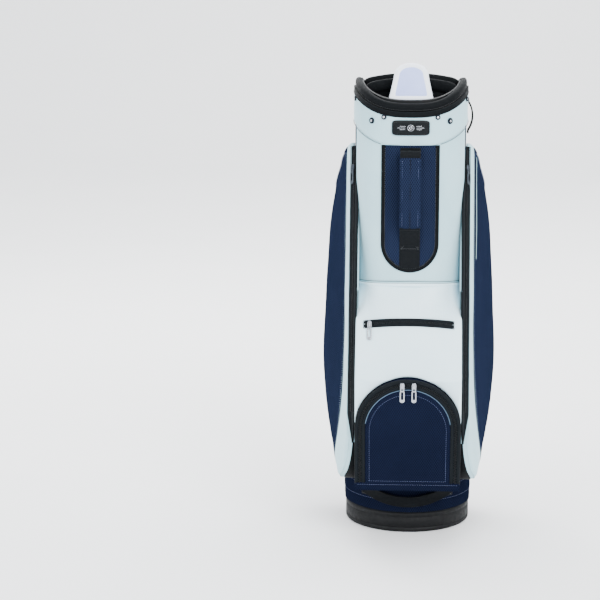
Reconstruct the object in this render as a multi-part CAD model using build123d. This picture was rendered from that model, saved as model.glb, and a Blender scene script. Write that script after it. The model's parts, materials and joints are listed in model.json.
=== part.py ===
from build123d import *
import os
from math import cos, sin, pi, radians, copysign, hypot, atan2, degrees

# Golf cart bag. Millimetres. Z is up, the front of the bag faces -Y, and the origin is the
# middle of the round base on the ground.

# --- base ---------------------------------------------------------------------------------
BASE_RADIUS = 127.0
CUP_HEIGHT = 41.0
CUP_WALL = 4.0
BAND_RADIUS = 130.0
BAND_TOP = 104.0

# --- body tube ----------------------------------------------------------------------------
# Each row is height, half width in X, half depth in Y, centre in Y, and roundness
# (2 is an ellipse, more is squarer).
BODY_ROWS = (
    (CUP_HEIGHT + 0.3, 124.0, 124.0, 0.0, 2.0),
    (300.0, 116.0, 129.0, -2.5, 2.3),
    (560.0, 110.7, 134.0, -5.0, 2.55),
    (760.0, 110.7, 136.7, -7.0, 2.7),
    (900.0, 110.7, 136.7, -7.0, 2.7),
)
BODY_WALL = 4.0
OVAL_POINTS = 28
SKIN_GAP = 0.3

# --- collar, cuff and rim -----------------------------------------------------------------
COLLAR = (114.0, 140.0, -7.0, 2.7)
CUFF_WALL = 3.0
CUFF_HEIGHT = 57.0
CUFF_BACK_EDGE = 108.0
# The rim is saddle shaped: seen from the side it is one arc through these (Y, Z) points.
RIM_ARC = ((-160.0, 834.0), (-48.0, 881.0), (146.0, 822.0))
RIM_BAND_TOP = 11.0
RIM_PAD_TOP = 27.0
RIM_PAD_DEPTH = 16.0

# --- club dividers ------------------------------------------------------------------------
DIVIDER_Y = (-65.0, -13.0, 48.0)
DIVIDER_NAMES = ("front", "middle", "rear")
DIVIDER_BAR_WIDTH = 13.0
DIVIDER_BAR_LOW = 6.0
DIVIDER_BAR_TOP = 32.0
RIB_WIDTH = 9.0
RIB_LOW = 3.0
RIB_TOP = 15.0
RIB_X = ((-36.0, 36.0), (-54.0, 0.0, 54.0), (-54.0, 0.0, 54.0), (-36.0, 36.0))
PANEL_THICKNESS = 2.0
PANEL_TOP = 1.6

# --- front face ---------------------------------------------------------------------------
FRONT_HALF_WIDTH = 107.0
FRONT_SEAM_Z = 512.0
INSET_WIDTH = 114.0
INSET_BOTTOM = 538.0
INSET_TOP = 776.0
BINDING = 9.0
PLATE_SIZE = (74.0, 30.0)
PLATE_Z = 824.0

# --- grab handle --------------------------------------------------------------------------
SLEEVE_WIDTH = 45.0
SLEEVE_THICK = 11.0
SLEEVE_ARC = ((-181.0, 768.0), (-190.0, 708.0), (-168.0, 632.0))
GRAB_WEB_WIDTH = 40.0
WEB_THICK = 3.0
GRAB_ROOT_Y = -163.5
GRAB_ROOT_UPPER_Z = 752.0
GRAB_ROOT_LOWER_Z = 612.0

# --- front pockets ------------------------------------------------------------------------
MID_TOP = (-139.0, 505.0)
MID_KINK = (-236.0, 341.0)
MID_FOOT = (-224.0, 250.0)
LOWER_HALF_WIDTH = 108.5
MID_ZIP_Z = 440.0
MID_ZIP_LENGTH = 178.0
MID_ZIP_HEIGHT = 17.0
MID_ZIP_RISE = 4.5
ARCH_RADIUS = 103.0
ARCH_TAPE = 19.0
BALL_TOP = (-252.0, 347.0)
BALL_MIDDLE = (-238.0, 243.0)
BALL_LOW = (-205.0, 125.0)
BALL_BOTTOM = 108.0

# --- side pockets -------------------------------------------------------------------------
SIDE_HALF_WIDTH = 172.0
SIDE_BACK_Y = 155.0
SIDE_BACK_INNER_X = 52.0
STRIP_TOP = (-35.0, 775.0)
STRIP_LOW = (-208.0, 215.0)
ZIP_OUTER_X = 119.0
ZIP_INNER_X = 104.0
ZIP_DEPTH = 18.0
SIDE_SLIDER_Z = 735.0
SLANT_TOP = 850.0

# --- zip sliders and pulls ----------------------------------------------------------------
PULL_LENGTH = 34.0
PULL_WIDTH = 9.0
PIN_RADIUS = 0.8
SLIDER_LIFT = 4.0

# --- base handle --------------------------------------------------------------------------
LIFT_HALF_SPAN = 90.0
LIFT_AXIS = (-98.0, 100.0)
LIFT_RADIUS = 137.0
LIFT_LOW_Z = 56.0
LIFT_WIDTH = 22.0

# --- shoulder strap -----------------------------------------------------------------------
RING_BAR = (144.0, 852.0)
RING_DROP = 22.0
RING_WIRE = 1.8
HOOK_CENTRE = (147.0, 826.0)
HOOK_RADIUS = 9.4
HOOK_WIRE = 1.6
GATE_SPAN = 60.0
GATE_MIDDLE = -12.0
GATE_KNUCKLE = 1.45
GATE_HEEL_GAP = 14.0
GATE_TIP_GAP = 13.0
EYE_DISTANCE = 34.4
EYE_BAR_DROP = 6.5
STRAP_PAD_WIDTH = 55.0
STRAP_PAD_THICK = 18.0
STRAP_OUTER = ((170.0, 762.0), (181.0, 600.0), (158.0, 404.0))
STRAP_WEB_WIDTH = 38.0
STRAP_LOW_Y = 146.0
STRAP_FOOT_Z = 156.0
GLIDE_Z = 330.0

# --- accessory loop on the right of the cuff ----------------------------------------------
# It bows out through these (X, Z) points, which are on its outer face.
LOOP_ARC = ((115.4, 862.0), (125.0, 832.0), (115.4, 802.0))
LOOP_WIDTH = 20.0
LOOP_Y = 20.0
LOOP_THICK = 2.2


def side_plane_prism(outline, half_x):
    """Extrude a closed outline drawn in the Y-Z plane to both sides of X = 0."""
    return extrude(Plane.YZ * make_face(outline), amount=half_x, both=True)


def box_between(low, high):
    """Box from its lowest corner to its highest corner."""
    size = [high[i] - low[i] for i in range(3)]
    middle = [(high[i] + low[i]) / 2 for i in range(3)]
    return Pos(*middle) * Box(*size)


def oval_outline(half_x, half_y, centre_y, roundness):
    """Closed superellipse curve at Z = 0."""
    points = []
    for i in range(OVAL_POINTS):
        turn = 2 * pi * i / OVAL_POINTS
        c, s = cos(turn), sin(turn)
        x = half_x * copysign(abs(c) ** (2 / roundness), c)
        y = centre_y + half_y * copysign(abs(s) ** (2 / roundness), s)
        points.append((x, y))
    return Spline(*points, periodic=True)


def body_solid(grow):
    """The body tube's outer form, grown or shrunk by grow."""
    sections = []
    for z, half_x, half_y, centre_y, roundness in BODY_ROWS:
        outline = oval_outline(half_x + grow, half_y + grow, centre_y, roundness)
        sections.append(Pos(0, 0, z) * make_face(outline))
    return loft(sections)


def collar_prism(inset, low=700.0, high=960.0):
    """Upright prism of the collar's oval, inset from its outer face."""
    half_x, half_y, centre_y, roundness = COLLAR
    outline = oval_outline(half_x - inset, half_y - inset, centre_y, roundness)
    return Pos(0, 0, low) * extrude(make_face(outline), amount=high - low)


def saddle_band(low, high):
    """Solid between two copies of the rim's arc, low and high being heights above it."""
    front, _, back = RIM_ARC
    lower = ThreePointArc(*[(y, z + low) for y, z in RIM_ARC])
    upper = ThreePointArc(*[(y, z + high) for y, z in RIM_ARC])
    ends = [Line((y, z + low), (y, z + high)) for y, z in (front, back)]
    return side_plane_prism([lower, upper, *ends], 150.0)


def skin(inner, outer):
    """Layer that follows the body tube, between two growths of it."""
    return body_solid(outer) - body_solid(inner)


def front_prism(outline):
    """Extrude a closed X-Z outline through the front half of the bag."""
    return extrude(Plane.XZ * make_face(outline), amount=300.0)


# --- base, body and collar ----------------------------------------------------------------
def base_cup():
    cup = Pos(0, 0, CUP_HEIGHT / 2) * Cylinder(BASE_RADIUS, CUP_HEIGHT)
    cup = chamfer(cup.edges().group_by(Axis.Z)[0], 2.0)
    bore = Pos(0, 0, CUP_HEIGHT / 2 + CUP_WALL) * Cylinder(BASE_RADIUS - CUP_WALL, CUP_HEIGHT)
    return cup - bore


def base_band(tube):
    height = BAND_TOP - CUP_HEIGHT - SKIN_GAP
    band = Pos(0, 0, CUP_HEIGHT + SKIN_GAP + height / 2) * Cylinder(BAND_RADIUS, height)
    band = fillet(band.edges().filter_by(GeomType.CIRCLE), 3.0)
    return band - tube


def body_shell():
    shell = body_solid(0) - body_solid(-BODY_WALL)
    return shell - saddle_band(-0.3, 200.0)


def stay_rods():
    """Three upright rods that hold the tube tall, just inside its wall."""
    rods = []
    for x, y in ((-88.0, -70.0), (88.0, -70.0), (0.0, 112.0)):
        rods.append(Pos(x, y, 440.0) * Cylinder(3.5, 780.0))
    return Compound(rods)


def collar_frame():
    """Moulded oval ring inside the rim, which carries the divider bars."""
    ring = collar_prism(RIM_PAD_DEPTH + 0.3) - collar_prism(RIM_PAD_DEPTH + 3.5)
    return ring & saddle_band(2.0, 22.0)


def cuff_parts(tube):
    wrap = (collar_prism(0) - collar_prism(CUFF_WALL)) & saddle_band(-CUFF_HEIGHT, -0.3)
    wrap = wrap - tube
    rear = box_between((-200, CUFF_BACK_EDGE, 600), (200, 300, 1000))
    return wrap - rear, wrap & rear


def rim_parts():
    binding = (collar_prism(-0.5) - collar_prism(7.0)) & saddle_band(0, RIM_BAND_TOP)
    pad = collar_prism(-1.0) - collar_prism(RIM_PAD_DEPTH)
    return binding, pad & saddle_band(RIM_BAND_TOP + 0.3, RIM_PAD_TOP)


# --- club dividers ------------------------------------------------------------------------
def divider_bar(y):
    half = DIVIDER_BAR_WIDTH / 2
    bar = box_between((-150, y - half, 700), (150, y + half, 1000))
    return bar & collar_prism(RIM_PAD_DEPTH + 3.8) & saddle_band(DIVIDER_BAR_LOW, DIVIDER_BAR_TOP)


def divider_ribs():
    """Short fore and aft ribs that split the four rows into fourteen openings."""
    half_bar = DIVIDER_BAR_WIDTH / 2 + 0.3
    edges = [-200.0, *DIVIDER_Y, 200.0]
    ribs = []
    inside = collar_prism(RIM_PAD_DEPTH + 3.8) & saddle_band(RIB_LOW, RIB_TOP)
    for row, columns in enumerate(RIB_X):
        for x in columns:
            low = (x - RIB_WIDTH / 2, edges[row] + half_bar, 700)
            high = (x + RIB_WIDTH / 2, edges[row + 1] - half_bar, 1000)
            ribs.extend((box_between(low, high) & inside).solids())
    return Compound(ribs)


def divider_panels():
    """Full length fabric panels under the three cross bars."""
    inside = body_solid(-BODY_WALL - 5.0) - saddle_band(PANEL_TOP, 200.0)
    panels = []
    for y in DIVIDER_Y:
        half = PANEL_THICKNESS / 2
        panel = box_between((-150, y - half, CUP_HEIGHT + 6), (150, y + half, 1000))
        panels.extend((panel & inside).solids())
    return Compound(panels)


# --- rim guards ---------------------------------------------------------------------------
def rim_guard(foot, head, foot_width, head_width, thick):
    """Padded tongue from its foot at the rim to its rounded head, both (Y, Z)."""
    rise = hypot(head[0] - foot[0], head[1] - foot[1])
    lean = degrees(atan2(head[0] - foot[0], head[1] - foot[1]))
    half_foot, half_head = foot_width / 2, head_width / 2
    outline = [
        Line((-half_foot, 0), (half_foot, 0)),
        Line((half_foot, 0), (half_head, rise - half_head * 0.6)),
        ThreePointArc((half_head, rise - half_head * 0.6), (0, rise),
                      (-half_head, rise - half_head * 0.6)),
        Line((-half_head, rise - half_head * 0.6), (-half_foot, 0)),
    ]
    tongue = extrude(Plane.XZ * make_face(outline), amount=thick / 2, both=True)
    return Pos(0, foot[0], foot[1]) * Rot(-lean, 0, 0) * tongue


# --- front face ---------------------------------------------------------------------------
def u_outline(half_width, bottom, top):
    """Upright panel with a round lower end."""
    shoulder = bottom + half_width
    return [
        Line((-half_width, shoulder), (-half_width, top)),
        Line((-half_width, top), (half_width, top)),
        Line((half_width, top), (half_width, shoulder)),
        ThreePointArc((half_width, shoulder), (0, bottom), (-half_width, shoulder)),
    ]


def front_panel():
    layer = skin(SKIN_GAP, 2.2) & box_between(
        (-FRONT_HALF_WIDTH, -300, FRONT_SEAM_Z), (FRONT_HALF_WIDTH, -60, 900))
    return layer - saddle_band(-CUFF_HEIGHT - 0.3, 200.0)


def inset_parts():
    """The round-ended inset on the front panel, and the binding sewn round it."""
    half = INSET_WIDTH / 2
    outer = front_prism(u_outline(half, INSET_BOTTOM, INSET_TOP))
    inner = front_prism(u_outline(half - BINDING, INSET_BOTTOM + BINDING, INSET_TOP + 1))
    return skin(2.5, 3.8) & inner, (skin(2.5, 4.6) & outer) - inner


def front_y(grow, z, x=0.0):
    """Y of the body tube's front at height z, from its upper rows."""
    low, high = BODY_ROWS[2], BODY_ROWS[3]
    share = min(max((z - low[0]) / (high[0] - low[0]), 0), 1)
    half_x, half_y, centre_y, roundness = [low[i] + share * (high[i] - low[i]) for i in (1, 2, 3, 4)]
    depth = (1 - (abs(x) / (half_x + grow)) ** roundness) ** (1 / roundness)
    return centre_y - (half_y + grow) * depth


def grab_anchor(z_low, z_high):
    """Stitched webbing tab on the inset panel."""
    face = front_y(4.1, (z_low + z_high) / 2)
    half = GRAB_WEB_WIDTH / 2
    return box_between((-half, face - 1.0, z_low), (half, face + 1.2, z_high)) - body_solid(3.9)


def name_plate():
    face = COLLAR[2] - COLLAR[1]
    width, height = PLATE_SIZE
    plate = RectangleRounded(width, height, 5.0)
    slab = Pos(0, face + 6.0, PLATE_Z) * Rot(90, 0, 0) * extrude(plate, amount=10.5)
    layer = collar_prism(-3.4) - collar_prism(-0.3)
    return slab & layer


def snap_places(offset_z, around):
    """Snap centres on the collar, as (x, y, z, turn about Z)."""
    half_x, half_y, centre_y, roundness = COLLAR
    places = []
    for x, side_y in around:
        if side_y is None:
            depth = (1 - (abs(x) / half_x) ** roundness) ** (1 / roundness)
            y = centre_y - half_y * depth
        else:
            y = side_y
            x = copysign(half_x * (1 - (abs(y - centre_y) / half_y) ** roundness) ** (1 / roundness), x)
        slope_x = copysign((abs(x) / half_x) ** (roundness - 1) / half_x, x)
        slope_y = copysign((abs(y - centre_y) / half_y) ** (roundness - 1) / half_y, y - centre_y)
        places.append((x, y, rim_height(y) + offset_z, degrees(atan2(slope_y, slope_x))))
    return places


def rim_height(y):
    """Height of the rim's arc at y."""
    (y0, z0), (y1, z1), (y2, z2) = RIM_ARC
    arc = ThreePointArc((y0, z0), (y1, z1), (y2, z2))
    cross = Line((y, 700), (y, 1000)).intersect(arc)
    point = cross if isinstance(cross, Vector) else cross.vertices()[0]
    return point.Y


def hood_snaps(radius, offset_z, around):
    studs = []
    for x, y, z, turn in snap_places(offset_z, around):
        stud = Rot(0, 0, turn) * Rot(0, 90, 0) * Cylinder(radius, 3.0)
        reach = 1.9
        shift = (reach * cos(radians(turn)), reach * sin(radians(turn)))
        studs.append(Pos(x + shift[0], y + shift[1], z) * stud)
    return Compound(studs)


# --- grab handle --------------------------------------------------------------------------
def parallel_arc(points, inward):
    """Three (Y, Z) points moved by inward towards +Y."""
    return [(y + inward, z) for y, z in points]


def bow_solid(points, thick, half_x):
    """Solid between an outer arc and the same arc moved by thick towards +Y."""
    back = parallel_arc(points, thick)
    outline = [
        ThreePointArc(*points),
        Line(points[2], back[2]),
        ThreePointArc(*back),
        Line(back[0], points[0]),
    ]
    return side_plane_prism(outline, half_x)


def strip_solid(points, thick, half_x):
    """Webbing of one thickness along straight runs in the Y-Z plane."""
    pieces = []
    for start, end in zip(points, points[1:]):
        run = hypot(end[0] - start[0], end[1] - start[1])
        lean = degrees(atan2(end[1] - start[1], end[0] - start[0]))
        piece = Box(2 * half_x, run, thick)
        middle = ((start[0] + end[0]) / 2, (start[1] + end[1]) / 2)
        pieces.append(Pos(0, *middle) * Rot(lean, 0, 0) * piece)
    for y, z in points[1:-1]:
        pieces.append(Pos(0, y, z) * Rot(0, 90, 0) * Cylinder(thick / 2, 2 * half_x))
    whole = pieces[0]
    for piece in pieces[1:]:
        whole = whole + piece
    return whole


def grab_handle():
    """Padded sleeve, and the webbing that runs through it to both anchors."""
    inner = SLEEVE_THICK / 2
    (top_y, top_z), _, (low_y, low_z) = SLEEVE_ARC
    half = GRAB_WEB_WIDTH / 2
    webbing = bow_solid(parallel_arc(SLEEVE_ARC, inner - WEB_THICK / 2), WEB_THICK, half)
    webbing += strip_solid([(GRAB_ROOT_Y, GRAB_ROOT_UPPER_Z), (top_y + 1, top_z - 6),
                            (top_y + inner, top_z - 3)], WEB_THICK, half)
    webbing += strip_solid([(low_y + inner, low_z + 3), (GRAB_ROOT_Y, GRAB_ROOT_LOWER_Z)],
                           WEB_THICK, half)
    return bow_solid(SLEEVE_ARC, SLEEVE_THICK, SLEEVE_WIDTH / 2) - webbing, webbing


# --- front pockets ------------------------------------------------------------------------
def arch_outline(radius, bottom):
    """Arch shape: a half round on straight sides."""
    centre = BALL_MIDDLE[1]
    return [
        Line((-radius, bottom), (radius, bottom)),
        Line((radius, bottom), (radius, centre)),
        ThreePointArc((radius, centre), (0, centre + radius), (-radius, centre)),
        Line((-radius, centre), (-radius, bottom)),
    ]


def mid_pocket(tube):
    outline = Polyline((-110, 508), (MID_TOP[0], 508), MID_TOP, MID_KINK, MID_FOOT, (-110, 250),
                       close=True)
    wedge = side_plane_prism([outline], LOWER_HALF_WIDTH)
    return wedge - front_prism(arch_outline(ARCH_RADIUS + 0.3, 100)) - tube


def mid_slope():
    """Unit vectors down the mid pocket's face and out of it, as (y, z)."""
    dy, dz = MID_KINK[0] - MID_TOP[0], MID_KINK[1] - MID_TOP[1]
    run = hypot(dy, dz)
    return (dy / run, dz / run), (dz / run, -dy / run)


def mid_face_y(z):
    share = (MID_TOP[1] - z) / (MID_TOP[1] - MID_KINK[1])
    return MID_TOP[0] + share * (MID_KINK[0] - MID_TOP[0])


def mid_plane(lift):
    """Plane on the mid pocket's face at its zip, X across and Y up the slope."""
    down, out = mid_slope()
    origin = (0, mid_face_y(MID_ZIP_Z) + out[0] * lift, MID_ZIP_Z + out[1] * lift)
    return Plane(origin=origin, x_dir=(1, 0, 0), z_dir=(0, out[0], out[1]))


def mid_zip():
    """Slightly arched zip tape on the mid pocket."""
    half, high = MID_ZIP_LENGTH / 2, MID_ZIP_HEIGHT / 2
    outline = [
        ThreePointArc((-half, -high), (0, MID_ZIP_RISE - high), (half, -high)),
        Line((half, -high), (half, high)),
        ThreePointArc((half, high), (0, MID_ZIP_RISE + high), (-half, high)),
        Line((-half, high), (-half, -high)),
    ]
    return extrude(mid_plane(0.2) * make_face(outline), amount=1.6)


def ball_form(tube):
    """Whole ball pocket: side profile cut to its arch, clear of the body tube."""
    outline = Polyline((-110, BALL_TOP[1] + 5), (BALL_TOP[0] - 0.67, BALL_TOP[1] + 5), BALL_MIDDLE,
                       BALL_LOW, (-188, 113), (-131, BALL_BOTTOM), (-110, BALL_BOTTOM), close=True)
    form = side_plane_prism([outline], ARCH_RADIUS)
    return (form & front_prism(arch_outline(ARCH_RADIUS, 90))) - tube


def ball_parts(tube):
    """Gusset, arched zip tape and domed front panel of the ball pocket."""
    form = ball_form(tube)
    layer = form - Pos(0, 5.0, 0) * form
    front = layer & box_between((-200, -300, 118), (200, -180, 400))
    inner = front_prism(arch_outline(ARCH_RADIUS - ARCH_TAPE, 118))
    panel = biggest(front & inner)
    tape = biggest(front - inner)
    return biggest(form - front), tape, panel


def biggest(shape):
    return max(shape.solids(), key=lambda solid: solid.volume)


# --- side pockets -------------------------------------------------------------------------
def side_form(core):
    """Left side pocket with its strip and zip: side, front and plan outlines crossed."""
    side = [
        Spline((STRIP_TOP[0] - 8, 786), (50, 748), (120, 705), (SIDE_BACK_Y - 1, 640)),
        Line((SIDE_BACK_Y - 1, 640), (SIDE_BACK_Y, 620)),
        Line((SIDE_BACK_Y, 620), (SIDE_BACK_Y, 250)),
        Spline((SIDE_BACK_Y, 250), (150, 192), (122, 152), (66, 113), (-10, 104), (-90, 106),
               (-150, 122), (-190, 150), (-206, 180), (-213, 215)),
        Line((-213, 215), (-224, 256)),
        Line((-224, 256), (STRIP_TOP[0] - 8, 786)),
    ]
    front = [
        Spline((-119, 800), (-136, 745), (-152, 680), (-SIDE_HALF_WIDTH, 480),
               (-SIDE_HALF_WIDTH, 300), (-155, 180), (-130, 100)),
        Line((-130, 100), (-40, 100)),
        Line((-40, 100), (-40, 800)),
        Line((-40, 800), (-119, 800)),
    ]
    back = [
        Spline((-SIDE_HALF_WIDTH, 40), (-SIDE_HALF_WIDTH + 3, 90), (-140, 140),
               (-90, SIDE_BACK_Y), (-SIDE_BACK_INNER_X, SIDE_BACK_Y - 3)),
        Line((-SIDE_BACK_INNER_X, SIDE_BACK_Y - 3), (-SIDE_BACK_INNER_X, -300)),
        Line((-SIDE_BACK_INNER_X, -300), (-SIDE_HALF_WIDTH, -300)),
        Line((-SIDE_HALF_WIDTH, -300), (-SIDE_HALF_WIDTH, 40)),
    ]
    form = side_plane_prism(side, 200) & front_prism_both(front) & cheek_prism()
    form = form & (Pos(0, 0, 90) * extrude(make_face(back), amount=720))
    front_block = box_between((-LOWER_HALF_WIDTH - 0.5, -400, 0), (0, -60, 900))
    return biggest(form - core - front_block - saddle_band(-CUFF_HEIGHT - 0.5, 200))


def cheek_prism():
    """Slanted prism that gives the pocket's width behind its slanting front edge."""
    edge = strip_edge(SLANT_TOP)
    outline = [
        Line((-ZIP_INNER_X, edge - ZIP_DEPTH), (-ZIP_OUTER_X, edge)),
        Spline((-ZIP_OUTER_X, edge), (-138, edge + 75), (-SIDE_HALF_WIDTH, edge + 215)),
        Line((-SIDE_HALF_WIDTH, edge + 215), (-SIDE_HALF_WIDTH, edge + 600)),
        Line((-SIDE_HALF_WIDTH, edge + 600), (-20, edge + 600)),
        Line((-20, edge + 600), (-20, edge - ZIP_DEPTH)),
        Line((-20, edge - ZIP_DEPTH), (-ZIP_INNER_X, edge - ZIP_DEPTH)),
    ]
    base = Pos(0, 0, SLANT_TOP) * make_face(outline)
    return extrude(base, amount=1000.0, dir=tuple(-strip_direction()))


def strip_direction():
    """Unit vector up along the white strip's front edge."""
    return Vector(0, STRIP_TOP[0] - STRIP_LOW[0], STRIP_TOP[1] - STRIP_LOW[1]).normalized()


def front_prism_both(outline):
    return extrude(Plane.XZ * make_face(outline), amount=300.0, both=True)


def strip_edge(z):
    """Y of the white strip's front edge at height z, in side view."""
    share = (STRIP_TOP[1] - z) / (STRIP_TOP[1] - STRIP_LOW[1])
    return STRIP_TOP[0] + share * (STRIP_LOW[0] - STRIP_TOP[0])


def side_parts(core):
    """Left navy pocket, white strip and zip tape, cut from one form."""
    form = side_form(core)
    ahead = side_plane_prism([Polyline((strip_edge(900), 900), (strip_edge(100), 100), (-400, 100),
                                       (-400, 900), close=True)], 200)
    white_edge = [
        Line((-3, 900), (-3, 760)),
        Line((-3, 760), (-128, 345)),
        ThreePointArc((-128, 345), (-122, 225), (-90, 100)),
        Line((-90, 100), (-400, 100)),
        Line((-400, 100), (-400, 900)),
        Line((-400, 900), (-3, 900)),
    ]
    white_side = side_plane_prism(white_edge, 200)
    pocket = biggest(form - white_side)
    strip = biggest((form & white_side) - ahead)
    tape = biggest(form & ahead)
    return pocket, strip, tape


# --- zip sliders and pulls ----------------------------------------------------------------
def slider_form():
    """Slider with its bridge. The pull's bar lies along X at the origin, Z is out of the tape."""
    base = Pos(0, -1.0, -2.4) * Box(9.0, 14.0, 2.4)
    upper_post = Pos(0, 4.8, 0.6) * Box(2.6, 1.6, 3.6)
    lower_post = Pos(0, -5.6, 0.6) * Box(2.6, 1.6, 3.6)
    bridge = Pos(0, -0.4, 1.85) * Box(2.6, 12.0, 1.1)
    return base + upper_post + lower_post + bridge


def pull_form():
    """Loop pull that hangs along -Y from its bar at the origin."""
    half = PULL_WIDTH / 2
    bar = Rot(0, 90, 0) * Cylinder(PIN_RADIUS, PULL_WIDTH - 0.2)
    rail = Pos(half - 1.0, -4.6, 0) * Box(2.0, 10.8, 2 * PIN_RADIUS)
    length = PULL_LENGTH - 10.0
    plate = Pos(0, -9.5 - length / 2, 0) * Box(PULL_WIDTH, length, 2 * PIN_RADIUS)
    window = Pos(0, -12.5 - length / 2, 0) * Box(PULL_WIDTH - 4.6, length - 9.0, 5)
    return bar + rail + mirror(rail, Plane.YZ) + (plate - window)


def slider_pair(place):
    return place * slider_form(), place * pull_form()


def mid_slider_place():
    half = MID_ZIP_LENGTH / 2 - 12.0
    plane = mid_plane(SLIDER_LIFT + 1.6)
    return Location(Plane(origin=plane.from_local_coords((-half, 0.5, 0)),
                          x_dir=(1, 0, 0), z_dir=plane.z_dir))


def ball_slider_place(turn):
    """Place on the arch, turn degrees from its top."""
    dy, dz = BALL_TOP[0] - BALL_MIDDLE[0], BALL_TOP[1] - BALL_MIDDLE[1]
    run = hypot(dy, dz)
    plane = Plane(origin=(0, *BALL_MIDDLE), x_dir=(1, 0, 0), z_dir=(0, -dz / run, dy / run))
    radius = ARCH_RADIUS - ARCH_TAPE / 2
    spot = plane.from_local_coords((radius * sin(radians(turn)), radius * cos(radians(turn)),
                                    SLIDER_LIFT))
    return Location(Plane(origin=spot, x_dir=(1, 0, 0), z_dir=plane.z_dir))


def side_slider_place():
    """Place near the zip's top, on its slanting flat tape, facing forward and out."""
    along = strip_direction()
    across = Vector(ZIP_OUTER_X - ZIP_INNER_X, -ZIP_DEPTH, 0)
    outward = across.cross(along).normalized()
    if outward.X > 0:
        outward = -outward
    middle = Vector(-(ZIP_OUTER_X + LOWER_HALF_WIDTH) / 2, 0, SIDE_SLIDER_Z)
    share = (ZIP_OUTER_X + middle.X) / (ZIP_OUTER_X - ZIP_INNER_X)
    middle.Y = strip_edge(SIDE_SLIDER_Z) - share * ZIP_DEPTH
    spot = middle + outward * SLIDER_LIFT
    return Location(Plane(origin=spot, x_dir=along.cross(outward), z_dir=outward))


# --- base handle --------------------------------------------------------------------------
def base_handle():
    """Webbing band that droops round the front of the base."""
    axis_y, axis_z = LIFT_AXIS
    span = LIFT_HALF_SPAN
    outline = [
        ThreePointArc((-span, axis_z + 2), (0, LIFT_LOW_Z + LIFT_WIDTH), (span, axis_z + 2)),
        Line((span, axis_z + 2), (span + 9, axis_z - 16)),
        ThreePointArc((span + 9, axis_z - 16), (0, LIFT_LOW_Z), (-span - 9, axis_z - 16)),
        Line((-span - 9, axis_z - 16), (-span, axis_z + 2)),
    ]
    shell = Cylinder(LIFT_RADIUS + 1.5, 400) - Cylinder(LIFT_RADIUS - 1.5, 400)
    return shell & front_prism(outline)


def base_handle_anchors():
    """Stitched tabs on the base band, one at each end of the base handle."""
    shell = Cylinder(BAND_RADIUS + 2.6, 400) - Cylinder(BAND_RADIUS + 0.3, 400)
    tabs = []
    for low, high in ((-92, -80), (70, 92)):
        tabs.append(shell & box_between((low, -200, 72), (high, -60, 101)))
    return Compound([tab.solids()[0] for tab in tabs])


# --- back and shoulder strap --------------------------------------------------------------
def spine_panel():
    layer = skin(SKIN_GAP, 3.6) & box_between((-48, 60, BAND_TOP + 2), (48, 300, 900))
    return layer - saddle_band(-CUFF_HEIGHT - 0.3, 200.0)


def torus_yz(major, minor):
    return Rot(0, 90, 0) * Torus(major, minor)


def strap_ring():
    """D-shaped ring: a straight bar on top and a round lower part."""
    y, z = RING_BAR
    profile = Plane(origin=(0, y, z), z_dir=(1, 0, 0)) * Circle(RING_WIRE)
    return sweep(profile, path=ring_path(12.0, y, z), transition=Transition.RIGHT)


def ring_path(half, y, z):
    """Closed path of the D-ring, which starts in the middle of its straight bar."""
    low = z - RING_DROP + half
    return Wire([
        Line((0, y, z), (half, y, z)),
        Line((half, y, z), (half, y, low)),
        ThreePointArc((half, y, low), (0, y, z - RING_DROP), (-half, y, low)),
        Line((-half, y, low), (-half, y, z)),
        Line((-half, y, z), (0, y, z)),
    ])


def strap_anchor_upper():
    """Webbing loop sewn to the back of the cuff, round the ring's bar."""
    y, z = RING_BAR
    loop = Pos(0, y, z) * Rot(0, 90, 0) * Cylinder(RING_WIRE + 2.8, 20.0)
    leaf = box_between((-10, 131, z - 30), (10, y - 1, z + 3.5))
    trim = side_plane_prism([Polyline((135.0, z - 40), (160, z - 40), (160, z - 6), (y - 3, z - 6),
                                      (135.0, z - 13), close=True)], 30)
    bore = Pos(0, y, z) * Rot(0, 90, 0) * Cylinder(RING_WIRE + 0.4, 60.0)
    collar = collar_prism(-1.3)
    return biggest(loop + (leaf - trim) - collar - bore)


def hook_axis():
    """Unit direction down the hook's shank, as (y, z), from its bow's centre."""
    dy, dz = 163.0 - HOOK_CENTRE[0], 776.0 - HOOK_CENTRE[1]
    run = hypot(dy, dz)
    return dy / run, dz / run


def hook_wedge(grow_low, grow_high):
    """Sector of the bow that the gate fills, on its outer side."""
    y, z = HOOK_CENTRE
    reach = 40.0
    spots = [(y, z)]
    for angle in (GATE_MIDDLE - GATE_SPAN / 2 - grow_low, GATE_MIDDLE + GATE_SPAN / 2 + grow_high):
        spots.append((y + reach * cos(radians(angle)), z + reach * sin(radians(angle))))
    return side_plane_prism([Polyline(*spots, close=True)], 20)


def along_shank(distance):
    dy, dz = hook_axis()
    return (0, HOOK_CENTRE[0] + dy * distance, HOOK_CENTRE[1] + dz * distance)


def shank_rod(radius, start, end):
    dy, dz = hook_axis()
    plane = Plane(origin=along_shank(start), z_dir=(0, dy, dz))
    return extrude(plane * Circle(radius), amount=end - start)


def strap_hook():
    bow = Pos(0, *HOOK_CENTRE) * torus_yz(HOOK_RADIUS, HOOK_WIRE)
    neck = shank_rod(2.2, HOOK_RADIUS - 0.5, 23.0)
    head = shank_rod(3.6, 19.4, 23.0)
    return bow - hook_wedge(GATE_HEEL_GAP, GATE_TIP_GAP) + neck + head


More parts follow.
